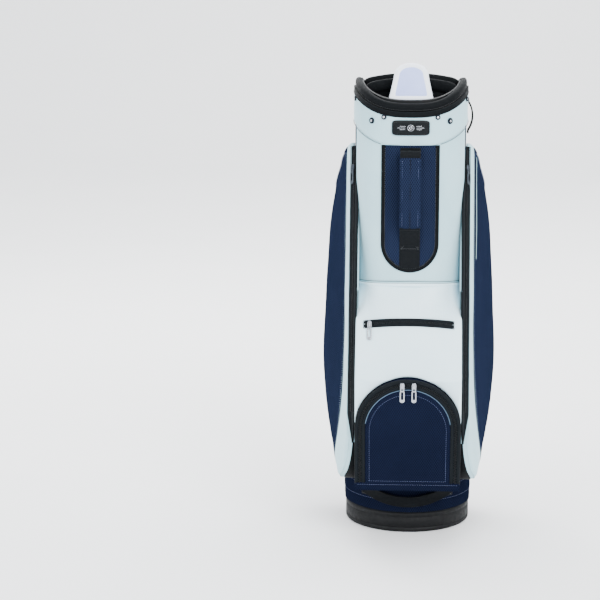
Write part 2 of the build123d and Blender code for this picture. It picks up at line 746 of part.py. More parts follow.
def hook_gate():
    """Sprung gate, with a round knuckle on its hinge line at its lower end."""
    bow = Pos(0, *HOOK_CENTRE) * torus_yz(HOOK_RADIUS, HOOK_WIRE - 0.2)
    low = radians(GATE_MIDDLE - GATE_SPAN / 2)
    place = Pos(0, HOOK_CENTRE[0] + HOOK_RADIUS * cos(low), HOOK_CENTRE[1] + HOOK_RADIUS * sin(low))
    return (bow & hook_wedge(0, 0)) + place * Rot(0, 90, 0) * Cylinder(GATE_KNUCKLE, 3.2)


def strap_eye():
    """Swivel barrel round the hook's neck, with the flat loop that holds the webbing."""
    barrel = shank_rod(5.6, 14.6, 26.0) - shank_rod(3.66, 19.3, 23.1) - shank_rod(2.26, 14.0, 20.0)
    return barrel + shank_place(EYE_DISTANCE) * (Box(48, 5, 17) - Box(40, 9, 9))


def shank_place(distance):
    """Place on the shank's line, with local -Z down the shank."""
    dy, dz = hook_axis()
    return Pos(*along_shank(distance)) * Rot(degrees(atan2(dy, -dz)), 0, 0)


def strap_pad():
    points = [(y - STRAP_PAD_THICK, z) for y, z in STRAP_OUTER]
    return bow_solid(points, STRAP_PAD_THICK, STRAP_PAD_WIDTH / 2) - strap_webbing()


def strap_webbing():
    """Webbing from the eye, through the pad and down to the foot of the bag."""
    half = STRAP_WEB_WIDTH / 2
    centre = [(y - STRAP_PAD_THICK / 2, z) for y, z in STRAP_OUTER]
    inside = bow_solid([(y - WEB_THICK / 2, z) for y, z in centre], WEB_THICK, half)
    wrap = shank_place(EYE_DISTANCE + EYE_BAR_DROP) * (Box(2 * half, 11, 10) - Box(60, 6, 5))
    below = along_shank(EYE_DISTANCE + EYE_BAR_DROP + 3.8)
    top = wrap + strip_solid([below[1:], (centre[0][0], centre[0][1] - 4)], WEB_THICK, half)
    low = strip_solid([centre[2], (STRAP_LOW_Y, centre[2][1] - 45), (STRAP_LOW_Y, STRAP_FOOT_Z)],
                      WEB_THICK, half)
    return inside + top + low


def strap_glide():
    """Three-bar slide that the webbing passes through."""
    frame = Pos(0, STRAP_LOW_Y, GLIDE_Z) * Box(48, 8.0, 26)
    slot = Pos(0, STRAP_LOW_Y, GLIDE_Z) * Box(STRAP_WEB_WIDTH + 0.8, WEB_THICK + 0.8, 40)
    return frame - slot


def strap_anchor_lower():
    """Webbing patch at the foot of the spine, which holds the strap's lower end."""
    half = STRAP_WEB_WIDTH / 2
    return box_between((-half, 120, 124), (half, 137.5, 152)) - body_solid(3.9)


def accessory_loop():
    """Webbing loop on the right of the cuff, bowed out, with both ends sewn down."""
    inner = [(x - LOOP_THICK, z) for x, z in LOOP_ARC]
    outline = [
        ThreePointArc(*LOOP_ARC),
        Line(LOOP_ARC[2], inner[2]),
        ThreePointArc(*inner),
        Line(inner[0], LOOP_ARC[0]),
    ]
    bow = extrude(Plane.XZ * make_face(outline), amount=LOOP_WIDTH / 2, both=True)
    return Pos(0, LOOP_Y, 0) * bow - collar_prism(-0.2)


def main():
    tube = body_solid(SKIN_GAP)
    parts = {
        "base_cup": base_cup(),
        "base_band": base_band(tube),
        "body_shell": body_shell(),
        "stay_rods": stay_rods(),
        "collar_frame": collar_frame(),
        "divider_ribs": divider_ribs(),
        "divider_panels": divider_panels(),
        "front_guard": rim_guard((-112.0, 884.0), (-78.0, 945.0), 86.0, 62.0, 9.0),
        "rear_guard": rim_guard((104.0, 872.0), (56.0, 918.0), 80.0, 58.0, 9.0),
        "front_panel": front_panel(),
        "name_plate": name_plate(),
        "grab_anchor_upper": grab_anchor(736.0, 768.0),
        "grab_anchor_lower": grab_anchor(583.0, 632.0),
        "hood_snaps_small": hood_snaps(4.0, -6.0, [(-52, None), (52, None), (-1, 59), (1, 59),
                                                   (-1, -70), (1, -70)]),
        "hood_snaps_large": hood_snaps(5.8, -19.0, [(-76, None), (76, None), (-1, 70), (1, 70)]),
        "mid_pocket": mid_pocket(tube),
        "mid_zip": mid_zip(),
        "base_handle": base_handle(),
        "base_handle_anchors": base_handle_anchors(),
        "spine_panel": spine_panel(),
        "strap_ring": strap_ring(),
        "strap_anchor_upper": strap_anchor_upper(),
        "strap_anchor_lower": strap_anchor_lower(),
        "strap_hook": strap_hook(),
        "hook_gate": hook_gate(),
        "strap_eye": strap_eye(),
        "strap_pad": strap_pad(),
        "strap_webbing": strap_webbing(),
        "strap_glide": strap_glide(),
        "accessory_loop": accessory_loop(),
    }
    for name, y in zip(DIVIDER_NAMES, DIVIDER_Y):
        parts["divider_bar_" + name] = divider_bar(y)
    parts["cuff"], parts["cuff_back"] = cuff_parts(tube)
    parts["rim_binding"], parts["rim_pad"] = rim_parts()
    parts["inset_panel"], parts["inset_binding"] = inset_parts()
    parts["grab_sleeve"], parts["grab_webbing"] = grab_handle()
    parts["ball_pocket"], parts["ball_zip"], parts["ball_panel"] = ball_parts(tube)
    parts["mid_slider"], parts["mid_pull"] = slider_pair(mid_slider_place())
    for side, turn in (("left", -7.0), ("right", 7.0)):
        slider, pull = slider_pair(ball_slider_place(turn))
        parts["ball_slider_" + side], parts["ball_pull_" + side] = slider, pull
    pocket, strip, tape = side_parts(tube + Pos(0, 0, BAND_TOP / 2) * Cylinder(
        BAND_RADIUS + SKIN_GAP, BAND_TOP + 2 * SKIN_GAP))
    slider, pull = slider_pair(side_slider_place())
    left = {"side_pocket": pocket, "side_strip": strip, "side_zip": tape,
            "side_slider": slider, "side_pull": pull}
    for name, shape in left.items():
        parts[name + "_left"] = shape
        parts[name + "_right"] = mirror(shape, Plane.YZ)

    os.makedirs("parts", exist_ok=True)
    for name, shape in parts.items():
        export_step(shape, "parts/" + name + ".step")


main()
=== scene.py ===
import json
from math import atan2, cos, degrees, hypot, pi, radians, sin, sqrt

import bmesh
import bpy
import numpy as np
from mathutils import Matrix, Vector
from mathutils.kdtree import KDTree


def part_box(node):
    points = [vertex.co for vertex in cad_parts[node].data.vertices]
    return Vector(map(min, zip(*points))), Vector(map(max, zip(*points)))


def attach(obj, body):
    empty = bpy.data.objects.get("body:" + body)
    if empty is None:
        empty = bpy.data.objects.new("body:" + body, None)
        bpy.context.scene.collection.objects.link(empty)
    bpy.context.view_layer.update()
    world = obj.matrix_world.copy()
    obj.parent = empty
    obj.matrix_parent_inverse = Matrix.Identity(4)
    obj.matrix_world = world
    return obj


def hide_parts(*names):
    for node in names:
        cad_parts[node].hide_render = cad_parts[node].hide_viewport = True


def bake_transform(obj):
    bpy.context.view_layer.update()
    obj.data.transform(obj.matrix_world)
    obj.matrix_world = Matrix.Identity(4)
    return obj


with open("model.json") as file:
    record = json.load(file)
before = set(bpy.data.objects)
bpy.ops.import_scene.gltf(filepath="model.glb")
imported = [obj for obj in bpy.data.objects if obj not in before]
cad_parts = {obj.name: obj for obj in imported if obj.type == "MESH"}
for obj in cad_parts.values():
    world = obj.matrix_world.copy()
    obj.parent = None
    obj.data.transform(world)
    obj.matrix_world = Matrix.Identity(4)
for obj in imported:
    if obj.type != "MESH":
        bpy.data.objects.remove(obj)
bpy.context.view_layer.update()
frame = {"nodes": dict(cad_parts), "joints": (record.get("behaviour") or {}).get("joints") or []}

# Looks of the golf cart bag. Shapes are worked out in millimetres in the CAD frame (Z up, the
# front faces -Y) and written in metres.
MM = 0.001
JOINTS = {joint["name"]: joint for joint in frame["joints"]}


# --- places taken from the frame ----------------------------------------------------------
def low(node):
    return np.array(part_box(node)[0]) / MM


def high(node):
    return np.array(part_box(node)[1]) / MM


CUP_TOP = high("base_cup")[2]
CUP_RADIUS = high("base_cup")[0]
BAND_RADIUS = high("base_band")[0]
BAND_TOP = high("base_band")[2]
COLLAR_HALF_X = high("cuff")[0]
COLLAR_FRONT = low("cuff")[1]
COLLAR_BACK = high("cuff_back")[1]
COLLAR_HALF_Y = (COLLAR_BACK - COLLAR_FRONT) / 2
COLLAR_MID_Y = (COLLAR_BACK + COLLAR_FRONT) / 2
CUFF_BACK_Y = high("cuff")[1]
SIDE_HALF = -low("side_pocket_left")[0]
ARCH_RADIUS = high("ball_zip")[0]

# --- dimensions that the boxes don't give (mm) --------------------------------------------
ROUNDNESS = 2.7
RIM_ARC = ((-160.0, 834.0), (-48.0, 881.0), (146.0, 822.0))
CUFF_HEIGHT = 57.0
RIM_BAND = 11.0
RIM_PAD = 27.0
BODY_ROWS = ((41.3, 124.0, 124.0, 0.0, 2.0), (300.0, 116.0, 129.0, -2.5, 2.3),
             (560.0, 110.7, 134.0, -5.0, 2.55), (760.0, 110.7, 136.7, -7.0, 2.7),
             (900.0, 110.7, 136.7, -7.0, 2.7))
STRIP_TOP = (-35.0, 775.0)
STRIP_LOW = (-208.0, 215.0)
ZIP_DEPTH = 18.0
ZIP_OUTER_X = 119.0
ZIP_INNER_X = 104.0
MID_TOP = (-139.0, 505.0)
MID_KINK = (-236.0, 341.0)
BALL_TOP = (-252.0, 347.0)
BALL_MIDDLE = (-238.0, 243.0)
BALL_LOW = (-205.0, 125.0)
BALL_BOTTOM = 108.0
BALL_FOOT = 128.0
ARCH_TAPE = 19.0


def circle_through(points):
    (y0, z0), (y1, z1), (y2, z2) = points
    d = 2 * (y0 * (z1 - z2) + y1 * (z2 - z0) + y2 * (z0 - z1))
    q0, q1, q2 = y0 * y0 + z0 * z0, y1 * y1 + z1 * z1, y2 * y2 + z2 * z2
    cy = (q0 * (z1 - z2) + q1 * (z2 - z0) + q2 * (z0 - z1)) / d
    cz = (q0 * (y2 - y1) + q1 * (y0 - y2) + q2 * (y1 - y0)) / d
    return cy, cz, hypot(y0 - cy, z0 - cz)


RIM_CIRCLE = circle_through(RIM_ARC)


def saddle(y):
    """Height of the cuff's top edge at y."""
    cy, cz, radius = RIM_CIRCLE
    return cz + np.sqrt(radius ** 2 - (np.asarray(y, float) - cy) ** 2)


def body_row(z):
    """Half width, half depth, centre Y and roundness of the body tube at height z."""
    heights = [row[0] for row in BODY_ROWS]
    return [np.interp(z, heights, [row[i] for row in BODY_ROWS]) for i in (1, 2, 3, 4)]


def chord(value, half, other_half, power=ROUNDNESS):
    """Half width of a superellipse at a distance along its other axis."""
    return other_half * (1 - np.clip(np.abs(value) / half, 0, 1) ** power) ** (1 / power)


def body_half_x(y, z, grow=0.0):
    half_x, half_y, mid, power = body_row(z)
    return chord(y - mid, half_y + grow, half_x + grow, power)


def body_front_y(x, z, grow=0.0):
    half_x, half_y, mid, power = body_row(z)
    return mid - chord(x, half_x + grow, half_y + grow, power)


def body_back_y(x, z, grow=0.0):
    half_x, half_y, mid, power = body_row(z)
    return mid + chord(x, half_x + grow, half_y + grow, power)


def bulge(share, power):
    """Signed power, for outlines between a circle and a box."""
    return np.sign(share) * np.abs(share) ** power


def oval_ring(count, grow=0.0, row=None, first=90.0, last=450.0, closed=True):
    """Evenly spaced (x, y) round a superellipse and the outward directions there."""
    half_x, half_y, mid, power = row or (COLLAR_HALF_X, COLLAR_HALF_Y, COLLAR_MID_Y, ROUNDNESS)
    angle = np.radians(np.linspace(first, last, 1441))
    x = (half_x + grow) * bulge(np.cos(angle), 2 / power)
    y = mid + (half_y + grow) * bulge(np.sin(angle), 2 / power)
    run = np.concatenate([[0], np.cumsum(np.hypot(np.diff(x), np.diff(y)))])
    at = np.linspace(0, run[-1], count + 1 if closed else count)[:count]
    x, y = np.interp(at, run, x), np.interp(at, run, y)
    nx = bulge(x / half_x, power - 1) / half_x
    ny = bulge((y - mid) / half_y, power - 1) / half_y
    size = np.hypot(nx, ny)
    return np.stack([x, y], 1), np.stack([nx / size, ny / size], 1)


# --- mesh helpers -------------------------------------------------------------------------
def unit(v):
    v = np.asarray(v, float)
    return v / np.maximum(np.linalg.norm(v, axis=-1, keepdims=True), 1e-9)


def xyz(x, y, z):
    """Points from coordinates that broadcast together."""
    return np.stack(np.broadcast_arrays(x, y, z), -1)


def bell(value, middle, width):
    return np.exp(-((value - middle) / width) ** 2)


def looped(line):
    """Line with its first point repeated at its end."""
    return np.vstack([line, line[:1]])


def noise_waves(points, seed, size, amount):
    """Smooth seeded bumps: a sum of slanting waves of about the given size."""
    rng = np.random.default_rng(seed)
    total = np.zeros(len(points))
    for _ in range(9):
        direction = unit(rng.normal(size=3))
        length = size * rng.uniform(0.7, 1.9)
        total += np.sin(points @ direction * (2 * pi / length) + rng.uniform(0, 2 * pi))
    return total * amount / 3.0


def new_object(name, data):
    thing = bpy.data.objects.new(name, data)
    bpy.context.scene.collection.objects.link(thing)
    return thing


def new_mesh(name, verts, faces):
    """Mesh data from millimetre points."""
    mesh = bpy.data.meshes.new(name)
    mesh.from_pydata((np.asarray(verts, float) * MM).tolist(), [], faces)
    return mesh


def add_mesh(name, skin, look, node=None, body="bag"):
    """New piece from (points, faces), riding on a body and standing for a CAD node."""
    mesh = new_mesh(name, *skin)
    mesh.validate()
    mesh.materials.append(look)
    mesh.shade_smooth()
    piece = new_object(name, mesh)
    fix_normals(mesh)
    if body:
        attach(piece, body)
    if node:
        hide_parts(node)
    return piece


def fix_normals(mesh):
    work = bmesh.new()
    work.from_mesh(mesh)
    bmesh.ops.recalc_face_normals(work, faces=work.faces)
    work.to_mesh(mesh)
    work.free()


def grid_faces(rows, cols, start=0, wrap_rows=False, wrap_cols=False):
    faces = []
    for i in range(rows if wrap_rows else rows - 1):
        near, far = start + i * cols, start + (i + 1) % rows * cols
        for j in range(cols if wrap_cols else cols - 1):
            k = (j + 1) % cols
            faces.append((near + j, near + k, far + k, far + j))
    return faces


def both_faces(rows, cols, **wraps):
    """Faces of two grids of the same size, the second turned over."""
    under = grid_faces(rows, cols, rows * cols, **wraps)
    return grid_faces(rows, cols, **wraps) + [face[::-1] for face in under]


def closed_shell(outer, inner):
    """Vertices and faces of a closed skin between two grids of the same size."""
    rows, cols = outer.shape[:2]
    size = rows * cols
    faces = both_faces(rows, cols)
    edge = [(i, 0) for i in range(rows)] + [(rows - 1, j) for j in range(1, cols)]
    edge += [(i, cols - 1) for i in range(rows - 2, -1, -1)] + [(0, j) for j in range(cols - 2, 0, -1)]
    loop = [i * cols + j for i, j in edge]
    faces += [(a, a + size, b + size, b) for a, b in zip(loop, loop[1:] + loop[:1])]
    return np.concatenate([outer.reshape(-1, 3), inner.reshape(-1, 3)]), faces


def arc_rise(away, reach):
    """0 at an edge, rising in a quarter circle to 1 at reach."""
    t = np.clip(away / reach, 0, 1)
    return np.sqrt(np.clip(1 - (1 - t) ** 2, 0, 1))


def edge_roll(rows, cols, reach, drop, sides="uvUV"):
    """How far a sewn patch sinks near its edges: drop at the edge, nothing past reach columns."""
    i, j = np.mgrid[:rows, :cols].astype(float)
    fall = np.zeros((rows, cols))
    for side, away in zip("uUvV", (i, rows - 1 - i, j, cols - 1 - j)):
        if side in sides:
            fall = np.maximum(fall, drop * (1 - arc_rise(away, reach)))
    return fall


def sweep(path, section, up, closed_path=False, scale=1.0):
    """Skin of a closed section carried along a path. The section's x is sideways
    (path direction x up) and its y is along up."""
    path, section = np.asarray(path, float), np.asarray(section, float)
    count, around = len(path), len(section)
    ahead = np.roll(path, -1, 0) - np.roll(path, 1, 0) if closed_path else np.gradient(path, axis=0)
    ahead = unit(ahead)
    side = unit(np.cross(ahead, np.broadcast_to(up, path.shape)))
    up = unit(np.cross(side, ahead))
    scale = np.broadcast_to(scale, (count, 2))
    verts = (path[:, None] + side[:, None] * section[None, :, :1] * scale[:, None, :1]
             + up[:, None] * section[None, :, 1:] * scale[:, None, 1:])
    faces = grid_faces(count, around, wrap_rows=closed_path, wrap_cols=True)
    if not closed_path:
        last = (count - 1) * around
        faces += [tuple(range(around - 1, -1, -1)), tuple(range(last, last + around))]
    return verts.reshape(-1, 3), faces


def oval_section(half_w, half_h, ease_w, ease_h, count):
    """Closed oval outline: the smaller its eases, the flatter its sides."""
    turn = np.arange(count) * 2 * pi / count
    return np.stack([half_w * bulge(np.cos(turn), ease_w), half_h * bulge(np.sin(turn), ease_h)], 1)


def soft_section(half_w, half_h, power=3.0, count=24):
    """Rounded rectangle section, drawn as a superellipse."""
    return oval_section(half_w, half_h, 2 / power, 2 / power, count)


def resample(points, count, closed=False):
    points = looped(np.asarray(points, float)) if closed else np.asarray(points, float)
    run = np.concatenate([[0], np.cumsum(np.linalg.norm(np.diff(points, axis=0), axis=1))])
    at = np.linspace(0, run[-1], count + 1 if closed else count)[:count]
    return np.stack([np.interp(at, run, points[:, k]) for k in range(points.shape[1])], 1)


def smooth_line(points, rounds=3, closed=False):
    """Corner cutting that keeps the ends."""
    points = np.asarray(points, float)
    for _ in range(rounds):
        after = np.roll(points, -1, 0) if closed else points[1:]
        before = points if closed else points[:-1]
        cut = np.stack([before * 0.75 + after * 0.25, before * 0.25 + after * 0.75], 1)
        cut = cut.reshape(-1, points.shape[1])
        points = cut if closed else np.vstack([points[:1], cut, points[-1:]])
    return points


def length_of(points):
    return float(np.sum(np.linalg.norm(np.diff(points, axis=0), axis=1)))


def merge(parts):
    """Join several (verts, faces) into one."""
    verts, faces, shift = [], [], 0
    for part_verts, part_faces in parts:
        verts.append(np.asarray(part_verts, float))
        faces += [tuple(v + shift for v in face) for face in part_faces]
        shift += len(part_verts)
    return np.concatenate(verts), faces


def places_along(path, normals, count):
    """Evenly spaced places on a line, with the directions ahead, aside and out of the surface."""
    path = np.asarray(path, float)
    spots = resample(np.hstack([path, np.broadcast_to(normals, path.shape)]), count)
    place, normal = spots[:, :3], unit(spots[:, 3:])
    ahead = unit(np.gradient(place, axis=0))
    return place, ahead, unit(np.cross(ahead, normal)), normal


def stitch_row(points, normals, pitch=4.6, length=3.2, width=0.9, lift=0.25):
    """A row of small raised thread stitches along a line that lies on a surface."""
    count = max(2, int(length_of(points) / pitch))
    place, ahead, side, normal = places_along(points, normals, count)
    shape = ((-0.5, 0, -0.2), (-0.28, 0.5, 0.25), (0.28, 0.5, 0.25), (0.5, 0, -0.2),
             (0.28, -0.5, 0.25), (-0.28, -0.5, 0.25), (0, 0, 0.75), (0, 0, -0.6))
    verts = [place + ahead * along * length + side * across * width + normal * (rise * width * 0.55 + lift)
             for along, across, rise in shape]
    faces = []
    for k in range(0, 8 * count, 8):
        for a in range(6):
            b = (a + 1) % 6
            faces += [(k + a, k + b, k + 6), (k + b, k + a, k + 7)]
    return np.stack(verts, 1).reshape(-1, 3), faces


# --- materials ----------------------------------------------------------------------------
class Look:
    """Node material built in a few words. Lengths given to it are in millimetres."""

    def __init__(self, name, **sockets):
        self.material = bpy.data.materials.new(name)
        self.material.use_nodes = True
        self.nodes = self.material.node_tree.nodes
        self.links = self.material.node_tree.links
        self.shader = self.nodes["Principled BSDF"]
        for socket, value in sockets.items():
            self.shader.inputs[socket.replace("_", " ")].default_value = value
        place = self.nodes.new("ShaderNodeTexCoord")
        self.place = place.outputs["Object"]
        self.facing = place.outputs["Normal"]

    def add(self, kind, inputs, output=0, **settings):
        node = self.nodes.new(kind)
        for key, value in settings.items():
            setattr(node, key, value)
        for key, value in inputs.items():
            if isinstance(value, bpy.types.NodeSocket):
                self.links.new(value, node.inputs[key])
            else:
                node.inputs[key].default_value = value
        return node.outputs[output]

    def math(self, operation, a, b=0.0, clamp=False):
        return self.add("ShaderNodeMath", {0: a, 1: b}, operation=operation, use_clamp=clamp)

    def noise(self, size, detail=3.0, rough=0.55, place=None):
        return self.add("ShaderNodeTexNoise", {"Vector": place or self.place, "Scale": 1 / (size * MM),
                                               "Detail": detail, "Roughness": rough})

    def cells(self, size, feature="F1", place=None):
        return self.add("ShaderNodeTexVoronoi", {"Vector": place or self.place,
                                                 "Scale": 1 / (size * MM)}, feature=feature)

    def ramp(self, value, low, high, to_low=0.0, to_high=1.0):
        return self.add("ShaderNodeMapRange", {"Value": value, "From Min": low, "From Max": high,
                                               "To Min": to_low, "To Max": to_high})

    def mix(self, share, a, b):
        return self.add("ShaderNodeMix", {0: share, 6: a, 7: b}, 2, data_type="RGBA")

    def across(self):
        """Horizontal and vertical distance along the surface, in metres, from the way it faces."""
        x, y, z = [self.add("ShaderNodeSeparateXYZ", {0: self.place}, i) for i in range(3)]
        nx, ny, nz = [self.math("ABSOLUTE", self.add("ShaderNodeSeparateXYZ", {0: self.facing}, i))
                      for i in range(3)]
        sideways = self.math("GREATER_THAN", nx, ny)
        flat = self.math("GREATER_THAN", nz, 0.78)
        return self.mixed(sideways, x, y), self.mixed(flat, z, self.mixed(sideways, y, x))

    def mixed(self, share, a, b):
        """Plain number a where share is 0 and b where it is 1."""
        return self.add("ShaderNodeMix", {0: share, 2: a, 3: b}, data_type="FLOAT")

    def wave(self, distance, pitch):
        """0 to 1 and back once every pitch."""
        turns = self.math("MULTIPLY", distance, 1 / (pitch * MM))
        return self.math("MULTIPLY", self.math("PINGPONG", turns, 0.5), 2.0)

    def colour(self, value):
        self.links.new(value, self.shader.inputs["Base Color"])

    def rough(self, low, high, size, detail=3.0):
        """Roughness that varies from low to high in patches of a size."""
        value = self.ramp(self.noise(size, detail), 0.3, 0.7, low, high)
        self.links.new(value, self.shader.inputs["Roughness"])

    def bump(self, height, depth, strength=1.0, under=None):
        inputs = {"Height": height, "Distance": depth * MM, "Strength": strength}
        if under is not None:
            inputs["Normal"] = under
        return self.add("ShaderNodeBump", inputs)

    def normal(self, value):
        self.links.new(value, self.shader.inputs["Normal"])
        return self.material


def dimmed(colour, share):
    return (*(part * share for part in colour[:3]), 1.0)


def shade(r, g, b):
    """Linear colour from 0 to 255 screen values."""
    line = [((c / 255 + 0.055) / 1.055) ** 2.4 if c > 10 else c / 255 / 12.92 for c in (r, g, b)]
    return (*line, 1.0)


def ripstop(name, light, dark, thread):
    """Coated nylon with a small woven diamond grid."""
    look = Look(name, Specular_IOR_Level=0.0)
    level, rise = look.across()
    lean = look.math("MULTIPLY", rise, 0.62)
    one = look.wave(look.math("ADD", level, lean), 4.6)
    two = look.wave(look.math("SUBTRACT", level, lean), 4.6)
    grid = look.ramp(look.math("MINIMUM", one, two), 0.1, 0.34, 1.0, 0.0)
    weave = look.math("MULTIPLY", look.wave(level, 0.9), look.wave(rise, 0.9))
    patches = look.ramp(look.noise(120.0, 2.0), 0.3, 0.7)
    base = look.mix(patches, light, dark)
    look.colour(look.mix(look.math("MULTIPLY", grid, 0.7), base, thread))
    look.rough(0.68, 0.8, 9.0, 4.0)
    soft = look.bump(look.noise(38.0, 3.0), 1.6, 0.35)
    fine = look.bump(weave, 0.12, 0.5, soft)
    return look.normal(look.bump(grid, 0.3, 0.7, fine))


def leather(name, light, dark, grain=1.0):
    """Smooth coated leather: fine pebble grain, soft creases and faint marks."""
    look = Look(name, Specular_IOR_Level=0.42, Coat_Weight=0.06, Coat_Roughness=0.4)
    patches = look.ramp(look.noise(90.0, 3.0), 0.32, 0.68)
    marks = look.ramp(look.noise(14.0, 6.0, 0.7), 0.62, 0.8, 0.0, 0.22)
    look.colour(look.mix(marks, look.mix(patches, light, dark), shade(176, 194, 200)))
    look.rough(0.4, 0.54, 6.0, 4.0)
    crease = look.bump(look.noise(46.0, 4.0), 2.2, 0.3)
    pebbles = look.bump(look.cells(1.3 * grain, "SMOOTH_F1"), 0.16, 0.4, crease)
    return look.normal(look.bump(look.noise(0.5, 2.0), 0.05, 0.4, pebbles))


def webbing(name, dark, light, upright=True):
    """Woven strap: ribs along it and short cross threads."""
    look = Look(name, Sheen_Weight=0.03, Sheen_Roughness=0.4, Specular_IOR_Level=0.1)
    level, rise = look.across()
    along, over = (rise, level) if upright else (level, rise)
    ribs = look.wave(over, 2.2)
    twill = look.wave(look.math("ADD", along, look.math("MULTIPLY", over, 0.7)), 1.5)
    weave = look.math("MULTIPLY", ribs, look.ramp(twill, 0.0, 1.0, 0.55, 1.0))
    look.colour(look.mix(look.ramp(weave, 0.1, 0.9), dark, light))
    look.rough(0.6, 0.78, 4.0)
    return look.normal(look.bump(weave, 0.4, 0.8, look.bump(look.noise(0.7, 2.0), 0.12, 0.5)))


def knit(name, dark, light, size=1.7):
    """Spacer mesh over foam: small cells with soft fuzz."""
    look = Look(name, Sheen_Weight=0.04, Sheen_Roughness=0.4, Specular_IOR_Level=0.1)
    cells = look.cells(size, "SMOOTH_F1")
    look.colour(look.mix(look.ramp(cells, 0.15, 0.7), dark, light))
    look.rough(0.7, 0.85, 5.0)
    soft = look.bump(look.noise(30.0, 3.0), 1.8, 0.3)
    return look.normal(look.bump(cells, 0.45, 0.7, soft))


def moulded(name, dark, light, rough=0.5, grain=0.5):
    """Moulded plastic with a fine spark grain and slight scuffing."""
    look = Look(name, Specular_IOR_Level=0.22)
    scuffs = look.ramp(look.noise(22.0, 8.0, 0.72), 0.55, 0.78)
    look.colour(look.mix(look.math("MULTIPLY", scuffs, 0.5), dark, light))
    look.rough(rough - 0.08, rough + 0.1, 7.0, 4.0)
    return look.normal(look.bump(look.noise(grain, 2.0), 0.06, 0.6))


def metal(name, colour, rough=0.2, brushed=0.0):
    """Plated metal with fine wear."""
    look = Look(name, Metallic=1.0)
    wear = look.ramp(look.noise(3.0, 5.0, 0.6), 0.4, 0.75)
    look.colour(look.mix(look.math("MULTIPLY", wear, 0.6), colour, dimmed(colour, 0.62)))
    look.rough(rough, rough + 0.16, 1.2, 4.0)
    return look.normal(look.bump(look.noise(0.5 + brushed, 3.0), 0.05, 0.4))


def tape_cloth(name, dark, light):
    """Herringbone zip tape."""
    look = Look(name, Sheen_Weight=0.03, Sheen_Roughness=0.4, Specular_IOR_Level=0.1)
    level, rise = look.across()
    vee = look.wave(level, 3.2)
    rows = look.wave(look.math("ADD", rise, look.math("MULTIPLY", vee, 1.6 * MM)), 1.1)
    look.colour(look.mix(rows, dark, light))
    look.rough(0.62, 0.8, 3.0)
    return look.normal(look.bump(rows, 0.2, 0.6))


def plain_cloth(name, dark, light, size=0.8, rough=0.8):
    """Plain woven lining or padding cloth."""
    look = Look(name, Sheen_Weight=0.04, Sheen_Roughness=0.4, Specular_IOR_Level=0.1)
    level, rise = look.across()
    weave = look.math("MULTIPLY", look.wave(level, size), look.wave(rise, size))
    look.colour(look.mix(look.ramp(look.noise(60.0, 3.0), 0.3, 0.7), dark, light))
    look.rough(rough - 0.08, rough + 0.06, 6.0)
    soft = look.bump(look.noise(26.0, 3.0), 1.2, 0.3)
    return look.normal(look.bump(weave, 0.14, 0.5, soft))


def thread_look(name, colour):
    look = Look(name, Sheen_Weight=0.2)
    twist = look.noise(0.9, 2.0)
    look.colour(look.mix(look.ramp(twist, 0.3, 0.7, 0.0, 0.5), colour, dimmed(colour, 0.6)))
    look.links.new(look.ramp(twist, 0.3, 0.7, 0.5, 0.7), look.shader.inputs["Roughness"])
    return look.normal(look.bump(twist, 0.08, 0.5))


def paper_floor(name, colour):
    look = Look(name, Specular_IOR_Level=0.15)
    shades = look.ramp(look.noise(400.0, 2.0), 0.3, 0.7)
    look.colour(look.mix(shades, colour, dimmed(colour, 0.985)))
    look.rough(0.85, 0.95, 40.0)
    return look.material


NAVY = ripstop("navy_ripstop_cloth", shade(19, 24, 40), shade(15, 20, 34), shade(38, 48, 72))
NAVY_DARK = ripstop("navy_band_cloth", shade(12, 15, 28), shade(9, 12, 23), shade(25, 32, 54))
WHITE = leather("white_leather_skin", shade(172, 208, 217), shade(162, 200, 210))
DIM_PIPING = leather("dim_piping_skin", shade(44, 58, 84), shade(36, 50, 74), 0.7)
WHITE_BRIGHT = leather("white_pocket_skin", shade(218, 242, 250), shade(210, 236, 246))
SEAM_SHADE = leather("seam_shadow_skin", shade(84, 104, 112), shade(72, 92, 100), 0.7)
PIPING = leather("pale_piping_skin", shade(74, 98, 120), shade(60, 84, 106), 0.7)
BLACK_WEB = webbing("black_webbing_weave", shade(3, 5, 7), shade(11, 15, 20))
BLACK_WEB_LEVEL = webbing("black_webbing_level", shade(3, 5, 7), shade(11, 15, 20), False)
BLACK_PAD = knit("black_padding_knit", shade(2, 4, 6), shade(8, 11, 14))
BLACK_EDGE = knit("black_binding_knit", shade(2, 4, 6), shade(8, 11, 14), 1.2)
LINING = plain_cloth("black_lining_cloth", shade(3, 5, 7), shade(7, 9, 12))
GUARD_WHITE = leather("guard_border_skin", shade(238, 243, 250), shade(230, 237, 247), 0.8)
# Painted shade: the lavender cloth colour stands in for the bluish shade on the white guards' recessed faces
# and folds.
GUARD_PAINTED_SHADE = plain_cloth("guard_painted_shade_cloth", shade(176, 190, 240), shade(164, 178, 232), 0.9, 0.7)
TAPE = tape_cloth("zip_tape_twill", shade(5, 9, 12), shade(12, 18, 23))
COIL = moulded("zip_coil_nylon", shade(5, 9, 13), shade(16, 22, 28), 0.36, 0.4)
PLASTIC = moulded("base_moulded_plastic", shade(3, 4, 6), shade(9, 11, 13), 0.62)
FRAME_PLASTIC = moulded("frame_moulded_plastic", shade(7, 9, 12), shade(16, 19, 23), 0.5)
GLOSS = moulded("hardware_gloss_plastic", shade(6, 8, 11), shade(14, 17, 21), 0.26)
PLATE = moulded("plate_gloss_plastic", shade(5, 9, 12), shade(9, 14, 18), 0.22)
SILVER = metal("snap_polished_plate", shade(196, 200, 206), 0.14)
ZIP_SILVER = metal("zip_satin_plate", shade(176, 181, 188), 0.22)
ZIP_DARK = metal("zip_dark_plate", shade(84, 90, 98), 0.24)
NICKEL = metal("ring_dark_nickel", shade(112, 117, 124), 0.26, 0.4)
ROD = metal("stay_rod_paint", shade(50, 54, 60), 0.5)
DARK_METAL = metal("snap_dark_cap", shade(30, 37, 44), 0.42)
THREAD_WHITE = thread_look("white_thread", shade(206, 222, 226))
